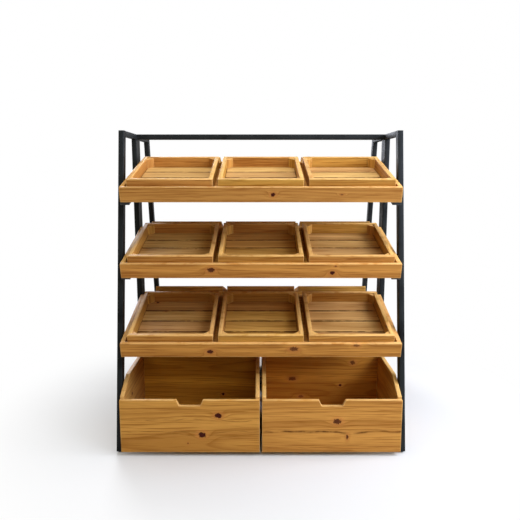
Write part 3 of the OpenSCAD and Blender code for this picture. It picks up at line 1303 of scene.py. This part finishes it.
@dataclass
class SteelFrame:
    """One half of the steel frame, welded from flat and square tube."""

    half: Half
    sizes: StandSizes
    tie_z: float = 0.110

    def build(self) -> None:
        """Builds the legs, posts, bars and rails of this half."""
        for side in Side:
            self._leg(side)
            self._post(side)
            self._top_bar(side)
            self._rails(side)
        self._across("crossbar", self.sizes.post_top)
        self._across("tie_bar", self.tie_z)

    def _coat(self, piece: PieceMesh, node: str) -> None:
        """Coats a piece and lets it stand for its solid."""
        piece.make([STEEL], FRAME_BODY, node)

    def _tube(self, name: str, size: Span, length: float, place: Matrix, closed_top: bool = False) -> None:
        """Builds a piece of one tube.

        Args:
            name: Its name on this half.
            size: Its width and depth.
            length: Its length.
            place: The frame of its lower end, with z along it.
            closed_top: Whether its upper end has a plate.
        """
        node = f"{self.half.value}_{name}"
        piece = PieceMesh(f"{node}_tube")
        piece.tube(size, length, self.sizes.wall, place, closed_top)
        self._coat(piece, node)

    def _leg(self, side: Side) -> None:
        """Builds a slanted leg with a closed top.

        Args:
            side: The end of the stand.
        """
        sizes = self.sizes
        foot = (sizes.tube_x, sizes.leg_face(sizes.foot_h) + sizes.leg_depth / 2, sizes.foot_h)
        place = sizes.turned(self.half, side) @ Matrix.Translation(foot) @ sizes.leg_lean
        size = (sizes.tube, sizes.leg_depth)
        self._tube(f"{side.value}_leg", size, sizes.frame_h - sizes.foot_h, place, closed_top=True)

    def _post(self, side: Side) -> None:
        """Builds an upright post at the middle plane.

        Args:
            side: The end of the stand.
        """
        sizes = self.sizes
        foot = (sizes.tube_x, -sizes.tube_d / 2, sizes.foot_h)
        place = sizes.turned(self.half, side) @ Matrix.Translation(foot)
        self._tube(f"{side.value}_post", (sizes.tube, sizes.tube_d), sizes.post_top - sizes.foot_h, place)

    def _top_bar(self, side: Side) -> None:
        """Builds the bar from a leg to the middle plane, cut to the leg's slant.

        Args:
            side: The end of the stand.
        """
        sizes = self.sizes
        node = f"{self.half.value}_{side.value}_top_bar"
        middle = (sizes.post_top + sizes.frame_h) / 2
        reach = -(sizes.leg_face(middle) + sizes.leg_depth)
        forward = Matrix.Translation((sizes.tube_x, 0.0, middle)) @ Matrix.Rotation(math.pi / 2, 4, "X")
        piece = PieceMesh(f"{node}_tube")
        piece.tube((sizes.tube, sizes.tube), reach, sizes.wall, forward)
        for vertex in piece.whole.verts:
            if vertex.co.y < -reach / 2:
                vertex.co.y += sizes.leg_run * (vertex.co.z - middle)
        piece.moved(sizes.turned(self.half, side))
        self._coat(piece, node)

    def _rails(self, side: Side) -> None:
        """Builds the three rails that carry the trays at one end.

        Args:
            side: The end of the stand.
        """
        sizes = self.sizes
        node = f"{self.half.value}_{side.value}_rails"
        start = (sizes.inner_x - sizes.rail_w / 2, sizes.rail_setback, -sizes.rail_h / 2)
        along = Matrix.Translation(start) @ Matrix.Rotation(-math.pi / 2, 4, "X")
        piece = PieceMesh(f"{node}_tubes")
        for level in Level:
            place = sizes.slope(self.half, level, side) @ along
            piece.tube((sizes.rail_w, sizes.rail_h), sizes.rail_l(level), sizes.wall, place)
        self._coat(piece, node)

    def _across(self, name: str, low_z: float) -> None:
        """Builds a tube between the two side frames.

        Args:
            name: Its name on this half.
            low_z: Height of its underside.
        """
        sizes = self.sizes
        start = (-sizes.inner_x, -sizes.tube / 2, low_z + sizes.tube / 2)
        along = Matrix.Translation(start) @ Matrix.Rotation(math.pi / 2, 4, "Y")
        self._tube(name, (sizes.tube, sizes.tube), 2 * sizes.inner_x, sizes.turned(self.half) @ along)


@dataclass
class FrameHardware:
    """Feet, end caps, bolts, nuts and screws of the frame."""

    sizes: StandSizes
    fit: float = 0.00015
    foot_d: float = 0.022
    foot_edge: float = 0.0015
    foot_soft: float = 0.0005
    plug_l: float = 0.024
    plug_soft: float = 0.0008
    cap_lip: float = 0.002
    cap_plug_l: float = 0.012
    cap_soft: float = 0.0007
    bolt_d: float = 0.008
    bolt_end: float = 0.003
    bolt_tip: float = 0.001
    bolt_steps: int = 24
    bolt_height_shares: tuple[float, ...] = (0.146, 0.3825, 0.6225, 0.8658)
    hexagon: int = 6
    head_af: float = 0.013
    head_h: float = 0.0053
    head_flat_share: float = 0.86
    head_edge_share: float = 0.8
    head_soft: float = 0.0003
    nut_h: float = 0.0065
    nut_flat_share: float = 0.88
    nut_edge_share: float = 0.15
    screw_d: float = 0.005
    screw_head_d: float = 0.010
    screw_head_h: float = 0.003
    screw_dome_shares: Outline = ((0.55, 0.95), (0.88, 0.68), (1.0, 0.25))
    screw_bite: float = 0.030
    screw_front: float = 0.090
    screw_back: float = 0.060
    screw_steps: int = 20

    def build(self) -> None:
        """Builds each kind of hardware as one piece."""
        self._feet()
        self._caps()
        self._bolts()
        self._nuts()
        self._screws()

    @property
    def hex_r(self) -> float:
        """From the middle of a bolt head or a nut to its corners."""
        return self.head_af / 2 / math.cos(math.pi / self.hexagon)

    def _inside(self, outer: float) -> float:
        """Size of a plug that fits a tube of an outer size."""
        return outer - 2 * self.sizes.wall - 2 * self.fit

    def _feet(self) -> None:
        """Builds the round feet with their plugs."""
        sizes = self.sizes
        radius, height, edge = self.foot_d / 2, sizes.foot_h, self.foot_edge
        plug = self._inside(sizes.tube)
        leg_deep = sizes.leg_depth * (1 - 2 * sizes.wall / sizes.tube_d) - 2 * self.fit
        leg_y = sizes.leg_face(height) + sizes.leg_depth / 2
        feet = (
            (leg_y, leg_deep, sizes.leg_lean),
            (-sizes.tube_d / 2, self._inside(sizes.tube_d), Matrix.Identity(4)),
        )
        profile = ((0.0, 0.0), (radius - edge, 0.0), (radius, edge), (radius, height), (0.0, height))
        piece = PieceMesh("leg_glides_moulded")
        for corner in (sizes.turned(half, side) for half in Half for side in Side):
            for y, deep, slant in feet:
                floor = corner @ Matrix.Translation((sizes.tube_x, y, 0.0))
                seat = corner @ Matrix.Translation((sizes.tube_x, y, height)) @ slant
                piece.turned_part(profile, floor, soft=self.foot_soft)
                piece.board(
                    (-plug / 2, -deep / 2, 0.0), (plug, deep, self.plug_l), seat, Fibre.Z, soft=self.plug_soft
                )
        piece.make([PLASTIC], FRAME_BODY, "leg_glides")

    def _caps(self) -> None:
        """Builds the end caps in the front ends of the rails."""
        sizes = self.sizes
        wide, high, setback = sizes.rail_w, sizes.rail_h, sizes.rail_setback
        plug_w, plug_h = self._inside(wide), self._inside(high)
        lip_low = (sizes.inner_x - wide, setback - self.cap_lip, -high)
        plug_low = (sizes.inner_x - (wide + plug_w) / 2, setback, -(high + plug_h) / 2)
        piece = PieceMesh("rail_caps_moulded")
        for place in sizes.tray_ends():
            piece.board(lip_low, (wide, self.cap_lip, high), place, Fibre.X, soft=self.cap_soft)
            piece.board(plug_low, (plug_w, self.cap_plug_l, plug_h), place, Fibre.X, soft=self.cap_soft)
        piece.make([PLASTIC], FRAME_BODY, "rail_caps")

    def _bolt_frames(self, y: float) -> list[Matrix]:
        """Lists the frames of the bolts, with z along the bolt.

        Args:
            y: Where they start.

        Returns:
            A frame for each bolt.
        """
        along = Matrix.Rotation(-math.pi / 2, 4, "X")
        return [
            Matrix.Translation((sign * self.sizes.tube_x, y, share * self.sizes.frame_h)) @ along
            for sign in (-1, 1)
            for share in self.bolt_height_shares
        ]

    def _bolts(self) -> None:
        """Builds the bolts that hold the two halves together."""
        radius, corner, under = self.bolt_d / 2, self.hex_r, -self.head_h
        length = 2 * self.sizes.tube_d + self.nut_h + self.bolt_end
        head = (
            (0.0, under),
            (corner * self.head_flat_share, under),
            (corner, under * self.head_edge_share),
            (corner, 0.0),
            (0.0, 0.0),
        )
        shank = (
            (0.0, 0.0),
            (radius, 0.0),
            (radius, length - self.bolt_tip),
            (radius - self.bolt_tip, length),
            (0.0, length),
        )
        piece = PieceMesh("frame_bolts_plated")
        for place in self._bolt_frames(-self.sizes.tube_d):
            piece.turned_part(head, place, self.hexagon, self.head_soft)
            piece.turned_part(shank, place, self.bolt_steps)
        piece.make([ZINC], FRAME_BODY, "frame_bolts")

    def _nuts(self) -> None:
        """Builds the nuts on the bolts' ends."""
        radius, corner, height = self.bolt_d / 2 + self.fit, self.hex_r, self.nut_h
        flat, edge = corner * self.nut_flat_share, height * self.nut_edge_share
        profile = (
            (radius, 0.0),
            (flat, 0.0),
            (corner, edge),
            (corner, height - edge),
            (flat, height),
            (radius, height),
            (radius, 0.0),
        )
        piece = PieceMesh("frame_nuts_plated")
        for place in self._bolt_frames(self.sizes.tube_d):
            piece.turned_part(profile, place, self.hexagon)
        piece.make([ZINC], FRAME_BODY, "frame_nuts")

    def _screws(self) -> None:
        """Builds the pan head screws that hold the trays on the rails."""
        sizes = self.sizes
        wide, thin, high = self.screw_head_d / 2, self.screw_d / 2, self.screw_head_h
        under, tip = -sizes.rail_h, self.screw_bite
        dome = [(wide * out, under - high * down) for out, down in self.screw_dome_shares]
        shank = [(wide, under), (thin, under), (thin, tip - 2 * thin), (0.0, tip)]
        profile = [(0.0, under - high), *dome, *shank]
        piece = PieceMesh("tray_screws_plated")
        screw_x = sizes.tray_w / 2 - sizes.tray_board / 2
        for place in sizes.tray_ends():
            for y in (self.screw_front, sizes.tray_l - self.screw_back):
                piece.turned_part(profile, place @ Matrix.Translation((screw_x, y, 0.0)), self.screw_steps)
        piece.make([ZINC], FRAME_BODY, "tray_screws")


@dataclass
class Tray:
    """A tilted tray: four boards round a floor panel on two cleats."""

    half: Half
    level: Level
    sizes: StandSizes
    cleat_w: float = 0.020
    front_slot: ClassVar[int] = 1

    def build(self) -> None:
        """Builds the tray's boards."""
        sizes = self.sizes
        node = f"{self.half.value}_{self.level.name.lower()}_tray"
        place = sizes.slope(self.half, self.level)
        piece = PieceMesh(f"{node}_boards")
        wide, long, board, glue = sizes.tray_w, sizes.tray_l, sizes.tray_board, sizes.glue
        inner_w = wide - 2 * board - 2 * glue
        inner_l = long - 2 * board - 2 * glue
        piece.board((-wide / 2, 0.0, 0.0), (wide, board, sizes.tray_h), place, Fibre.X, self.front_slot)
        piece.board((-wide / 2, long - board, 0.0), (wide, board, sizes.tray_h), place, Fibre.X)
        for x in (-wide / 2, wide / 2 - board):
            piece.board((x, board + glue, 0.0), (board, inner_l, sizes.tray_h), place, Fibre.Y)
        floor_low = (-inner_w / 2, board + glue, sizes.cleat_h + glue)
        piece.board(floor_low, (inner_w, inner_l, sizes.tray_floor - glue), place, Fibre.X)
        for y in (board + glue, long - board - glue - self.cleat_w):
            piece.board((-inner_w / 2, y, 0.0), (inner_w, self.cleat_w, sizes.cleat_h), place, Fibre.X)
        piece.make([TRAY_PINE, TRAY_FRONT_PINE[self.level]], FRAME_BODY, node)


@dataclass
class Crate:
    """A loose crate: four walls, a slatted floor and a block in each corner."""

    half: Half
    level: Level
    place: Place
    sizes: StandSizes
    length: float = 0.420
    height: float = 0.060
    wall: float = 0.018
    gap: float = 0.023
    end_gap: float = 0.012
    front_clear: float = 0.0005
    slat_t: float = 0.010
    slat_gap: float = 0.005
    slat_count: int = 4
    corner_block: float = 0.030
    corner_drop: float = 0.004
    corner_soft: float = 0.0008
    slat_slot: ClassVar[int] = 1

    @property
    def width(self) -> float:
        """Width of one of the crates that share a tray."""
        gaps = 2 * self.end_gap + (len(Place) - 1) * self.gap
        return (self.sizes.tray_w - 2 * self.sizes.tray_board - gaps) / len(Place)

    @property
    def inner(self) -> Span:
        """Width and length between the walls, less the glue lines."""
        lost = 2 * self.wall + 2 * self.sizes.glue
        return (self.width - lost, self.length - lost)

    def build(self) -> None:
        """Builds the crate's boards."""
        sizes = self.sizes
        node = f"{self.half.value}_{self.level.name.lower()}_{self.place.name.lower()}_crate"
        corner = (
            self.place.value * (self.width + self.gap),
            sizes.tray_board + self.front_clear,
            sizes.cleat_h + sizes.tray_floor,
        )
        place = sizes.slope(self.half, self.level) @ Matrix.Translation(corner)
        piece = PieceMesh(f"{node}_boards")
        self._walls(piece, place)
        self._slats(piece, place)
        self._blocks(piece, place)
        # The centre crates of the low and middle trays take the slat wood with painted shade.
        shaded = self.place is Place.CENTRE and self.level is not Level.TOP
        piece.make([CRATE_PINE, SHADED_SLAT_PINE if shaded else SLAT_PINE_PAINTED_LIGHT], node, node)

    def _walls(self, piece: PieceMesh, place: Matrix) -> None:
        """Adds the front and back walls, and the side walls between them.

        Args:
            piece: The crate's mesh.
            place: The crate's frame.
        """
        wide, wall, high = self.width, self.wall, self.height
        for y in (0.0, self.length - wall):
            piece.board((-wide / 2, y, 0.0), (wide, wall, high), place, Fibre.X)
        for x in (-wide / 2, wide / 2 - wall):
            piece.board((x, wall + self.sizes.glue, 0.0), (wall, self.inner[1], high), place, Fibre.Y)

    def _slats(self, piece: PieceMesh, place: Matrix) -> None:
        """Adds the floor slats.

        Args:
            piece: The crate's mesh.
            place: The crate's frame.
        """
        inner_w, inner_l = self.inner
        slat_l = (inner_l - (self.slat_count - 1) * self.slat_gap) / self.slat_count
        for number in range(self.slat_count):
            y = self.wall + self.sizes.glue + number * (slat_l + self.slat_gap)
            low, size = (-inner_w / 2, y, 0.0), (inner_w, slat_l, self.slat_t)
            piece.board(low, size, place, Fibre.X, self.slat_slot)

    def _blocks(self, piece: PieceMesh, place: Matrix) -> None:
        """Adds the triangular corner blocks.

        Args:
            piece: The crate's mesh.
            place: The crate's frame.
        """
        leg, low = self.corner_block, self.slat_t + self.sizes.glue
        half_w, half_l = (size / 2 for size in self.inner)
        for sx in (-1, 1):
            for sy in (-1, 1):
                spot = Matrix.Translation((sx * half_w, self.length / 2 + sy * half_l, low))
                outline = ((0.0, 0.0), (-sx * leg, 0.0), (0.0, -sy * leg))
                block_h = self.height - low - self.corner_drop
                piece.panel(outline, block_h, place @ spot, Fibre.Z, soft=self.corner_soft)


@dataclass
class Bin:
    """A floor bin with sloped sides and a hand cut-out, on four glides."""

    half: Half
    side: Side
    sizes: StandSizes
    reach: float = 0.577
    depth: float = 0.445
    side_clear: float = 0.003
    gap: float = 0.011
    front_h: float = 0.244
    back_h: float = 0.314
    slope_l: float = 0.135
    panel: float = 0.018
    floor: float = 0.012
    grip_top_w: float = 0.118
    grip_bottom_w: float = 0.092
    grip_depth: float = 0.027
    grip_r: float = 0.007
    grip_steps: int = 6
    glide_d: float = 0.032
    glide_h: float = 0.018
    glide_inset: float = 0.045
    glide_foot_share: float = 0.8
    glide_edge_share: float = 0.75
    glide_soft: float = 0.001
    front_slot: ClassVar[int] = 1
    back_slot: ClassVar[int] = 2

    @property
    def node(self) -> str:
        """Name of the bin's solid, which is its body's name too."""
        return f"{self.half.value}_{self.side.value}_bin"

    @property
    def width(self) -> float:
        """Width of one of the two bins between the side frames."""
        return self.sizes.inner_x - self.side_clear - self.gap / 2

    @property
    def frame(self) -> Matrix:
        """The bin's own frame: its middle at x = 0, its front at y = 0, its underside at z = 0."""
        middle = (1.0 if self.side is Side.RIGHT else -1.0) * (self.width + self.gap) / 2
        return self.sizes.turned(self.half) @ Matrix.Translation((middle, -self.reach, self.glide_h))

    def build(self) -> None:
        """Builds the bin and its glides."""
        self._box()
        self._glides()

    def _front_outline(self) -> Outline:
        """Draws the front panel with the hand cut-out in its upper edge.

        Returns:
            The outline's corners, from the lower left one.
        """
        half_w, top, rim = self.width / 2, self.front_h, self.grip_top_w / 2
        slant = math.atan2(self.grip_depth, (self.grip_top_w - self.grip_bottom_w) / 2)
        centre = self.grip_bottom_w / 2 - self.grip_r * math.tan(slant / 2)
        turns = [slant * (1 - step / self.grip_steps) for step in range(self.grip_steps + 1)]
        low = top - self.grip_depth
        right = [
            (centre + self.grip_r * math.sin(turn), low + self.grip_r * (1 - math.cos(turn)))
            for turn in turns
        ]
        left = [(-x, y) for x, y in reversed(right)]
        upper = [(half_w, top), (rim, top), *right, *left, (-rim, top), (-half_w, top)]
        return [(-half_w, 0.0), (half_w, 0.0), *upper]

    def _side_outline(self) -> Outline:
        """Draws a side panel with its sloped front part, from front to back and up.

        Returns:
            The outline's corners, from the lower front one.
        """
        start = self.panel + self.sizes.glue
        rise = (self.back_h - self.front_h) / self.slope_l
        return (
            (start, 0.0),
            (self.depth, 0.0),
            (self.depth, self.back_h),
            (self.slope_l, self.back_h),
            (start, self.front_h + rise * start),
        )

    def _box(self) -> None:
        """Builds the five panels."""
        glue, panel, place = self.sizes.glue, self.panel, self.frame
        inner_w = self.width - 2 * panel - 2 * glue
        inner_l = self.depth - 2 * panel - 2 * glue
        upright = Matrix.Translation((0.0, panel, 0.0)) @ Matrix.Rotation(math.pi / 2, 4, "X")
        sideways = Matrix.Rotation(math.pi / 2, 4, "Z") @ Matrix.Rotation(math.pi / 2, 4, "X")
        piece = PieceMesh(f"{self.node}_panels")
        piece.panel(self._front_outline(), panel, place @ upright, Fibre.X, self.front_slot)
        for x in (-self.width / 2, self.width / 2 - panel):
            stood = place @ Matrix.Translation((x, 0.0, 0.0)) @ sideways
            piece.panel(self._side_outline(), panel, stood, Fibre.X)
        back_low = (-inner_w / 2, self.depth - panel, 0.0)
        piece.board(back_low, (inner_w, panel, self.back_h), place, Fibre.X, self.back_slot)
        piece.board((-inner_w / 2, panel + glue, 0.0), (inner_w, inner_l, self.floor), place, Fibre.X)
        finishes = [LIT_BIN_PINE, BIN_FRONT_PINE[self.side], BIN_BACK_PINE[self.side]]
        piece.make(finishes, self.node, self.node)

    def _glides(self) -> None:
        """Builds the four glides under the bin."""
        radius, low = self.glide_d / 2, -self.glide_h
        profile = (
            (0.0, low),
            (radius * self.glide_foot_share, low),
            (radius, low * self.glide_edge_share),
            (radius, 0.0),
            (0.0, 0.0),
        )
        piece = PieceMesh(f"{self.node}_glides_moulded")
        inset_x = self.width / 2 - self.glide_inset
        for x in (-inset_x, inset_x):
            for y in (self.glide_inset, self.depth - self.glide_inset):
                piece.turned_part(profile, self.frame @ Matrix.Translation((x, y, 0.0)), soft=self.glide_soft)
        piece.make([PLASTIC], self.node, f"{self.node}_glides")


WHITE = (1.0, 1.0, 1.0, 1.0)
COOL_WHITE = (0.92, 1.03, 1.32)
DAYLIGHT = (0.95, 1.01, 1.15)
WARM_WHITE = (1.0, 0.92, 0.74)


@dataclass
class SoftLamp:
    """A square soft box that points at the stand."""

    title: str
    place: Triple
    size: float
    watts: float
    tint: Triple
    aim: Triple = (0.0, 0.0, 0.75)

    def build(self) -> None:
        """Hangs the lamp and turns it to its aim."""
        light = bpy.data.lights.new(self.title, "AREA")
        light.shape = "SQUARE"
        light.size = self.size
        light.energy = self.watts
        light.color = self.tint
        lamp = bpy.data.objects.new(self.title, light)
        lamp.location = self.place
        lamp.rotation_euler = (Vector(self.aim) - Vector(self.place)).to_track_quat("-Z", "Y").to_euler()
        bpy.context.scene.collection.objects.link(lamp)


@dataclass
class Studio:
    """Camera, pale floor, white surround and soft lamps."""

    eye: Triple = (-0.004, -2.814, 1.249)
    pitch: float = 0.161
    focal_share: float = 540 / 520
    sensor_w: float = 36.0
    sky_level: float = 0.03
    room_level: float = 0.08
    backdrop_level: float = 1.0
    backdrop_span: Span = (-0.1, 0.5)
    floor_size: float = 16.0
    floor_colour: Colour = srgb(202, 198, 188)
    floor_roughness: float = 0.7
    floor_glow_span: Span = (0.6, 1.5)
    lamps: tuple[SoftLamp, ...] = (
        SoftLamp("overhead_box", (0.2, -0.6, 3.5), 2.4, 78.0, DAYLIGHT),
        SoftLamp("right_side_box", (2.6, -0.6, 1.9), 1.4, 92.0, COOL_WHITE),
        SoftLamp("right_front_box", (2.0, -2.1, 2.1), 1.2, 46.0, COOL_WHITE),
        SoftLamp("left_fill", (-2.4, -1.8, 2.0), 1.6, 13.0, WARM_WHITE),
        SoftLamp("front_fill", (0.6, -3.8, 1.9), 2.0, 25.0, WARM_WHITE),
        SoftLamp("rear_fill", (-1.7, 3.2, 2.2), 1.6, 150.0, DAYLIGHT),
    )

    def build(self) -> None:
        """Sets up everything round the object."""
        bpy.context.scene.view_settings.view_transform = "Standard"
        self._camera()
        self._surround()
        self._floor()
        for lamp in self.lamps:
            lamp.build()

    def _camera(self) -> None:
        """Puts the camera where the photograph was taken from."""
        lens = bpy.data.cameras.new("camera")
        lens.sensor_width = self.sensor_w
        lens.lens = self.sensor_w * self.focal_share
        camera = bpy.data.objects.new("camera", lens)
        camera.location = self.eye
        camera.rotation_euler = (math.pi / 2 - self.pitch, 0.0, 0.0)
        bpy.context.scene.collection.objects.link(camera)
        bpy.context.scene.camera = camera

    def _surround(self) -> None:
        """Makes a surround that looks white and lights softly."""
        world = bpy.data.worlds.new("surround")
        world.use_nodes = True
        sheet = NodeSheet(world.node_tree)
        path = sheet.add("ShaderNodeLightPath").outputs
        seen = sheet.math("MAXIMUM", path["Is Camera Ray"], path["Is Transmission Ray"])
        _, depth, _ = sheet.parts(sheet.add("ShaderNodeTexCoord").outputs["Generated"])
        room = sheet.span(depth, self.backdrop_span, self.room_level, self.backdrop_level, smooth=True)
        mirrored = sheet.times(path["Is Glossy Ray"], room)
        plain = sheet.math("SUBTRACT", 1.0, path["Is Glossy Ray"])
        level = sheet.math("MULTIPLY_ADD", plain, self.sky_level, mirrored)
        level = sheet.math("MAXIMUM", seen, level)
        sky = sheet.add("ShaderNodeBackground", {"Color": WHITE, "Strength": level})
        sheet.add("ShaderNodeOutputWorld", {"Surface": sky.outputs[0]})
        bpy.context.scene.world = world

    def _floor_paint(self) -> bpy.types.Material:
        """Makes a pale paint that keeps the shadow near the stand and glows white further off for camera
        rays; this painted glow stands in for the white surround and lightens the outer part of the stand's
        shadow.

        Returns:
            The floor's material.
        """
        paint = bpy.data.materials.new("floor_paint")
        paint.use_nodes = True
        sheet = NodeSheet(paint.node_tree)
        place = sheet.add("ShaderNodeTexCoord").outputs["Object"]
        distance = sheet.add("ShaderNodeVectorMath", {0: place}, operation="LENGTH").outputs["Value"]
        # Painted glow: past the start of the span the floor shows the camera white light of its own, which
        # also lightens the stand's shadow there.
        fade = sheet.span(distance, self.floor_glow_span, smooth=True)
        white = sheet.times(fade, sheet.add("ShaderNodeLightPath").outputs["Is Camera Ray"])
        coat = {"Base Color": self.floor_colour, "Roughness": self.floor_roughness}
        shader = sheet.add("ShaderNodeBsdfPrincipled", coat).outputs[0]
        glow = sheet.add("ShaderNodeEmission", {"Color": WHITE, "Strength": 1.0}).outputs[0]
        blend = sheet.add("ShaderNodeMixShader", {0: white, 1: shader, 2: glow})
        sheet.add("ShaderNodeOutputMaterial", {"Surface": blend.outputs[0]})
        return paint

    def _floor(self) -> None:
        """Lays the floor."""
        shape = bmesh.new()
        bmesh.ops.create_grid(shape, x_segments=1, y_segments=1, size=self.floor_size / 2)
        mesh = bpy.data.meshes.new("floor")
        shape.to_mesh(mesh)
        shape.free()
        mesh.materials.append(self._floor_paint())
        floor = bpy.data.objects.new("floor", mesh)
        bpy.context.scene.collection.objects.link(floor)


def main() -> None:
    """Builds the studio and every piece of the stand."""
    logging.basicConfig(level=logging.INFO, format="%(name)s %(message)s")
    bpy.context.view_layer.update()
    Studio().build()
    sizes = StandSizes()
    FrameHardware(sizes).build()
    for half in Half:
        SteelFrame(half, sizes).build()
        for level in Level:
            Tray(half, level, sizes).build()
            for place in Place:
                Crate(half, level, place, sizes).build()
        for side in Side:
            Bin(half, side, sizes).build()


if __name__ == "__main__":
    main()
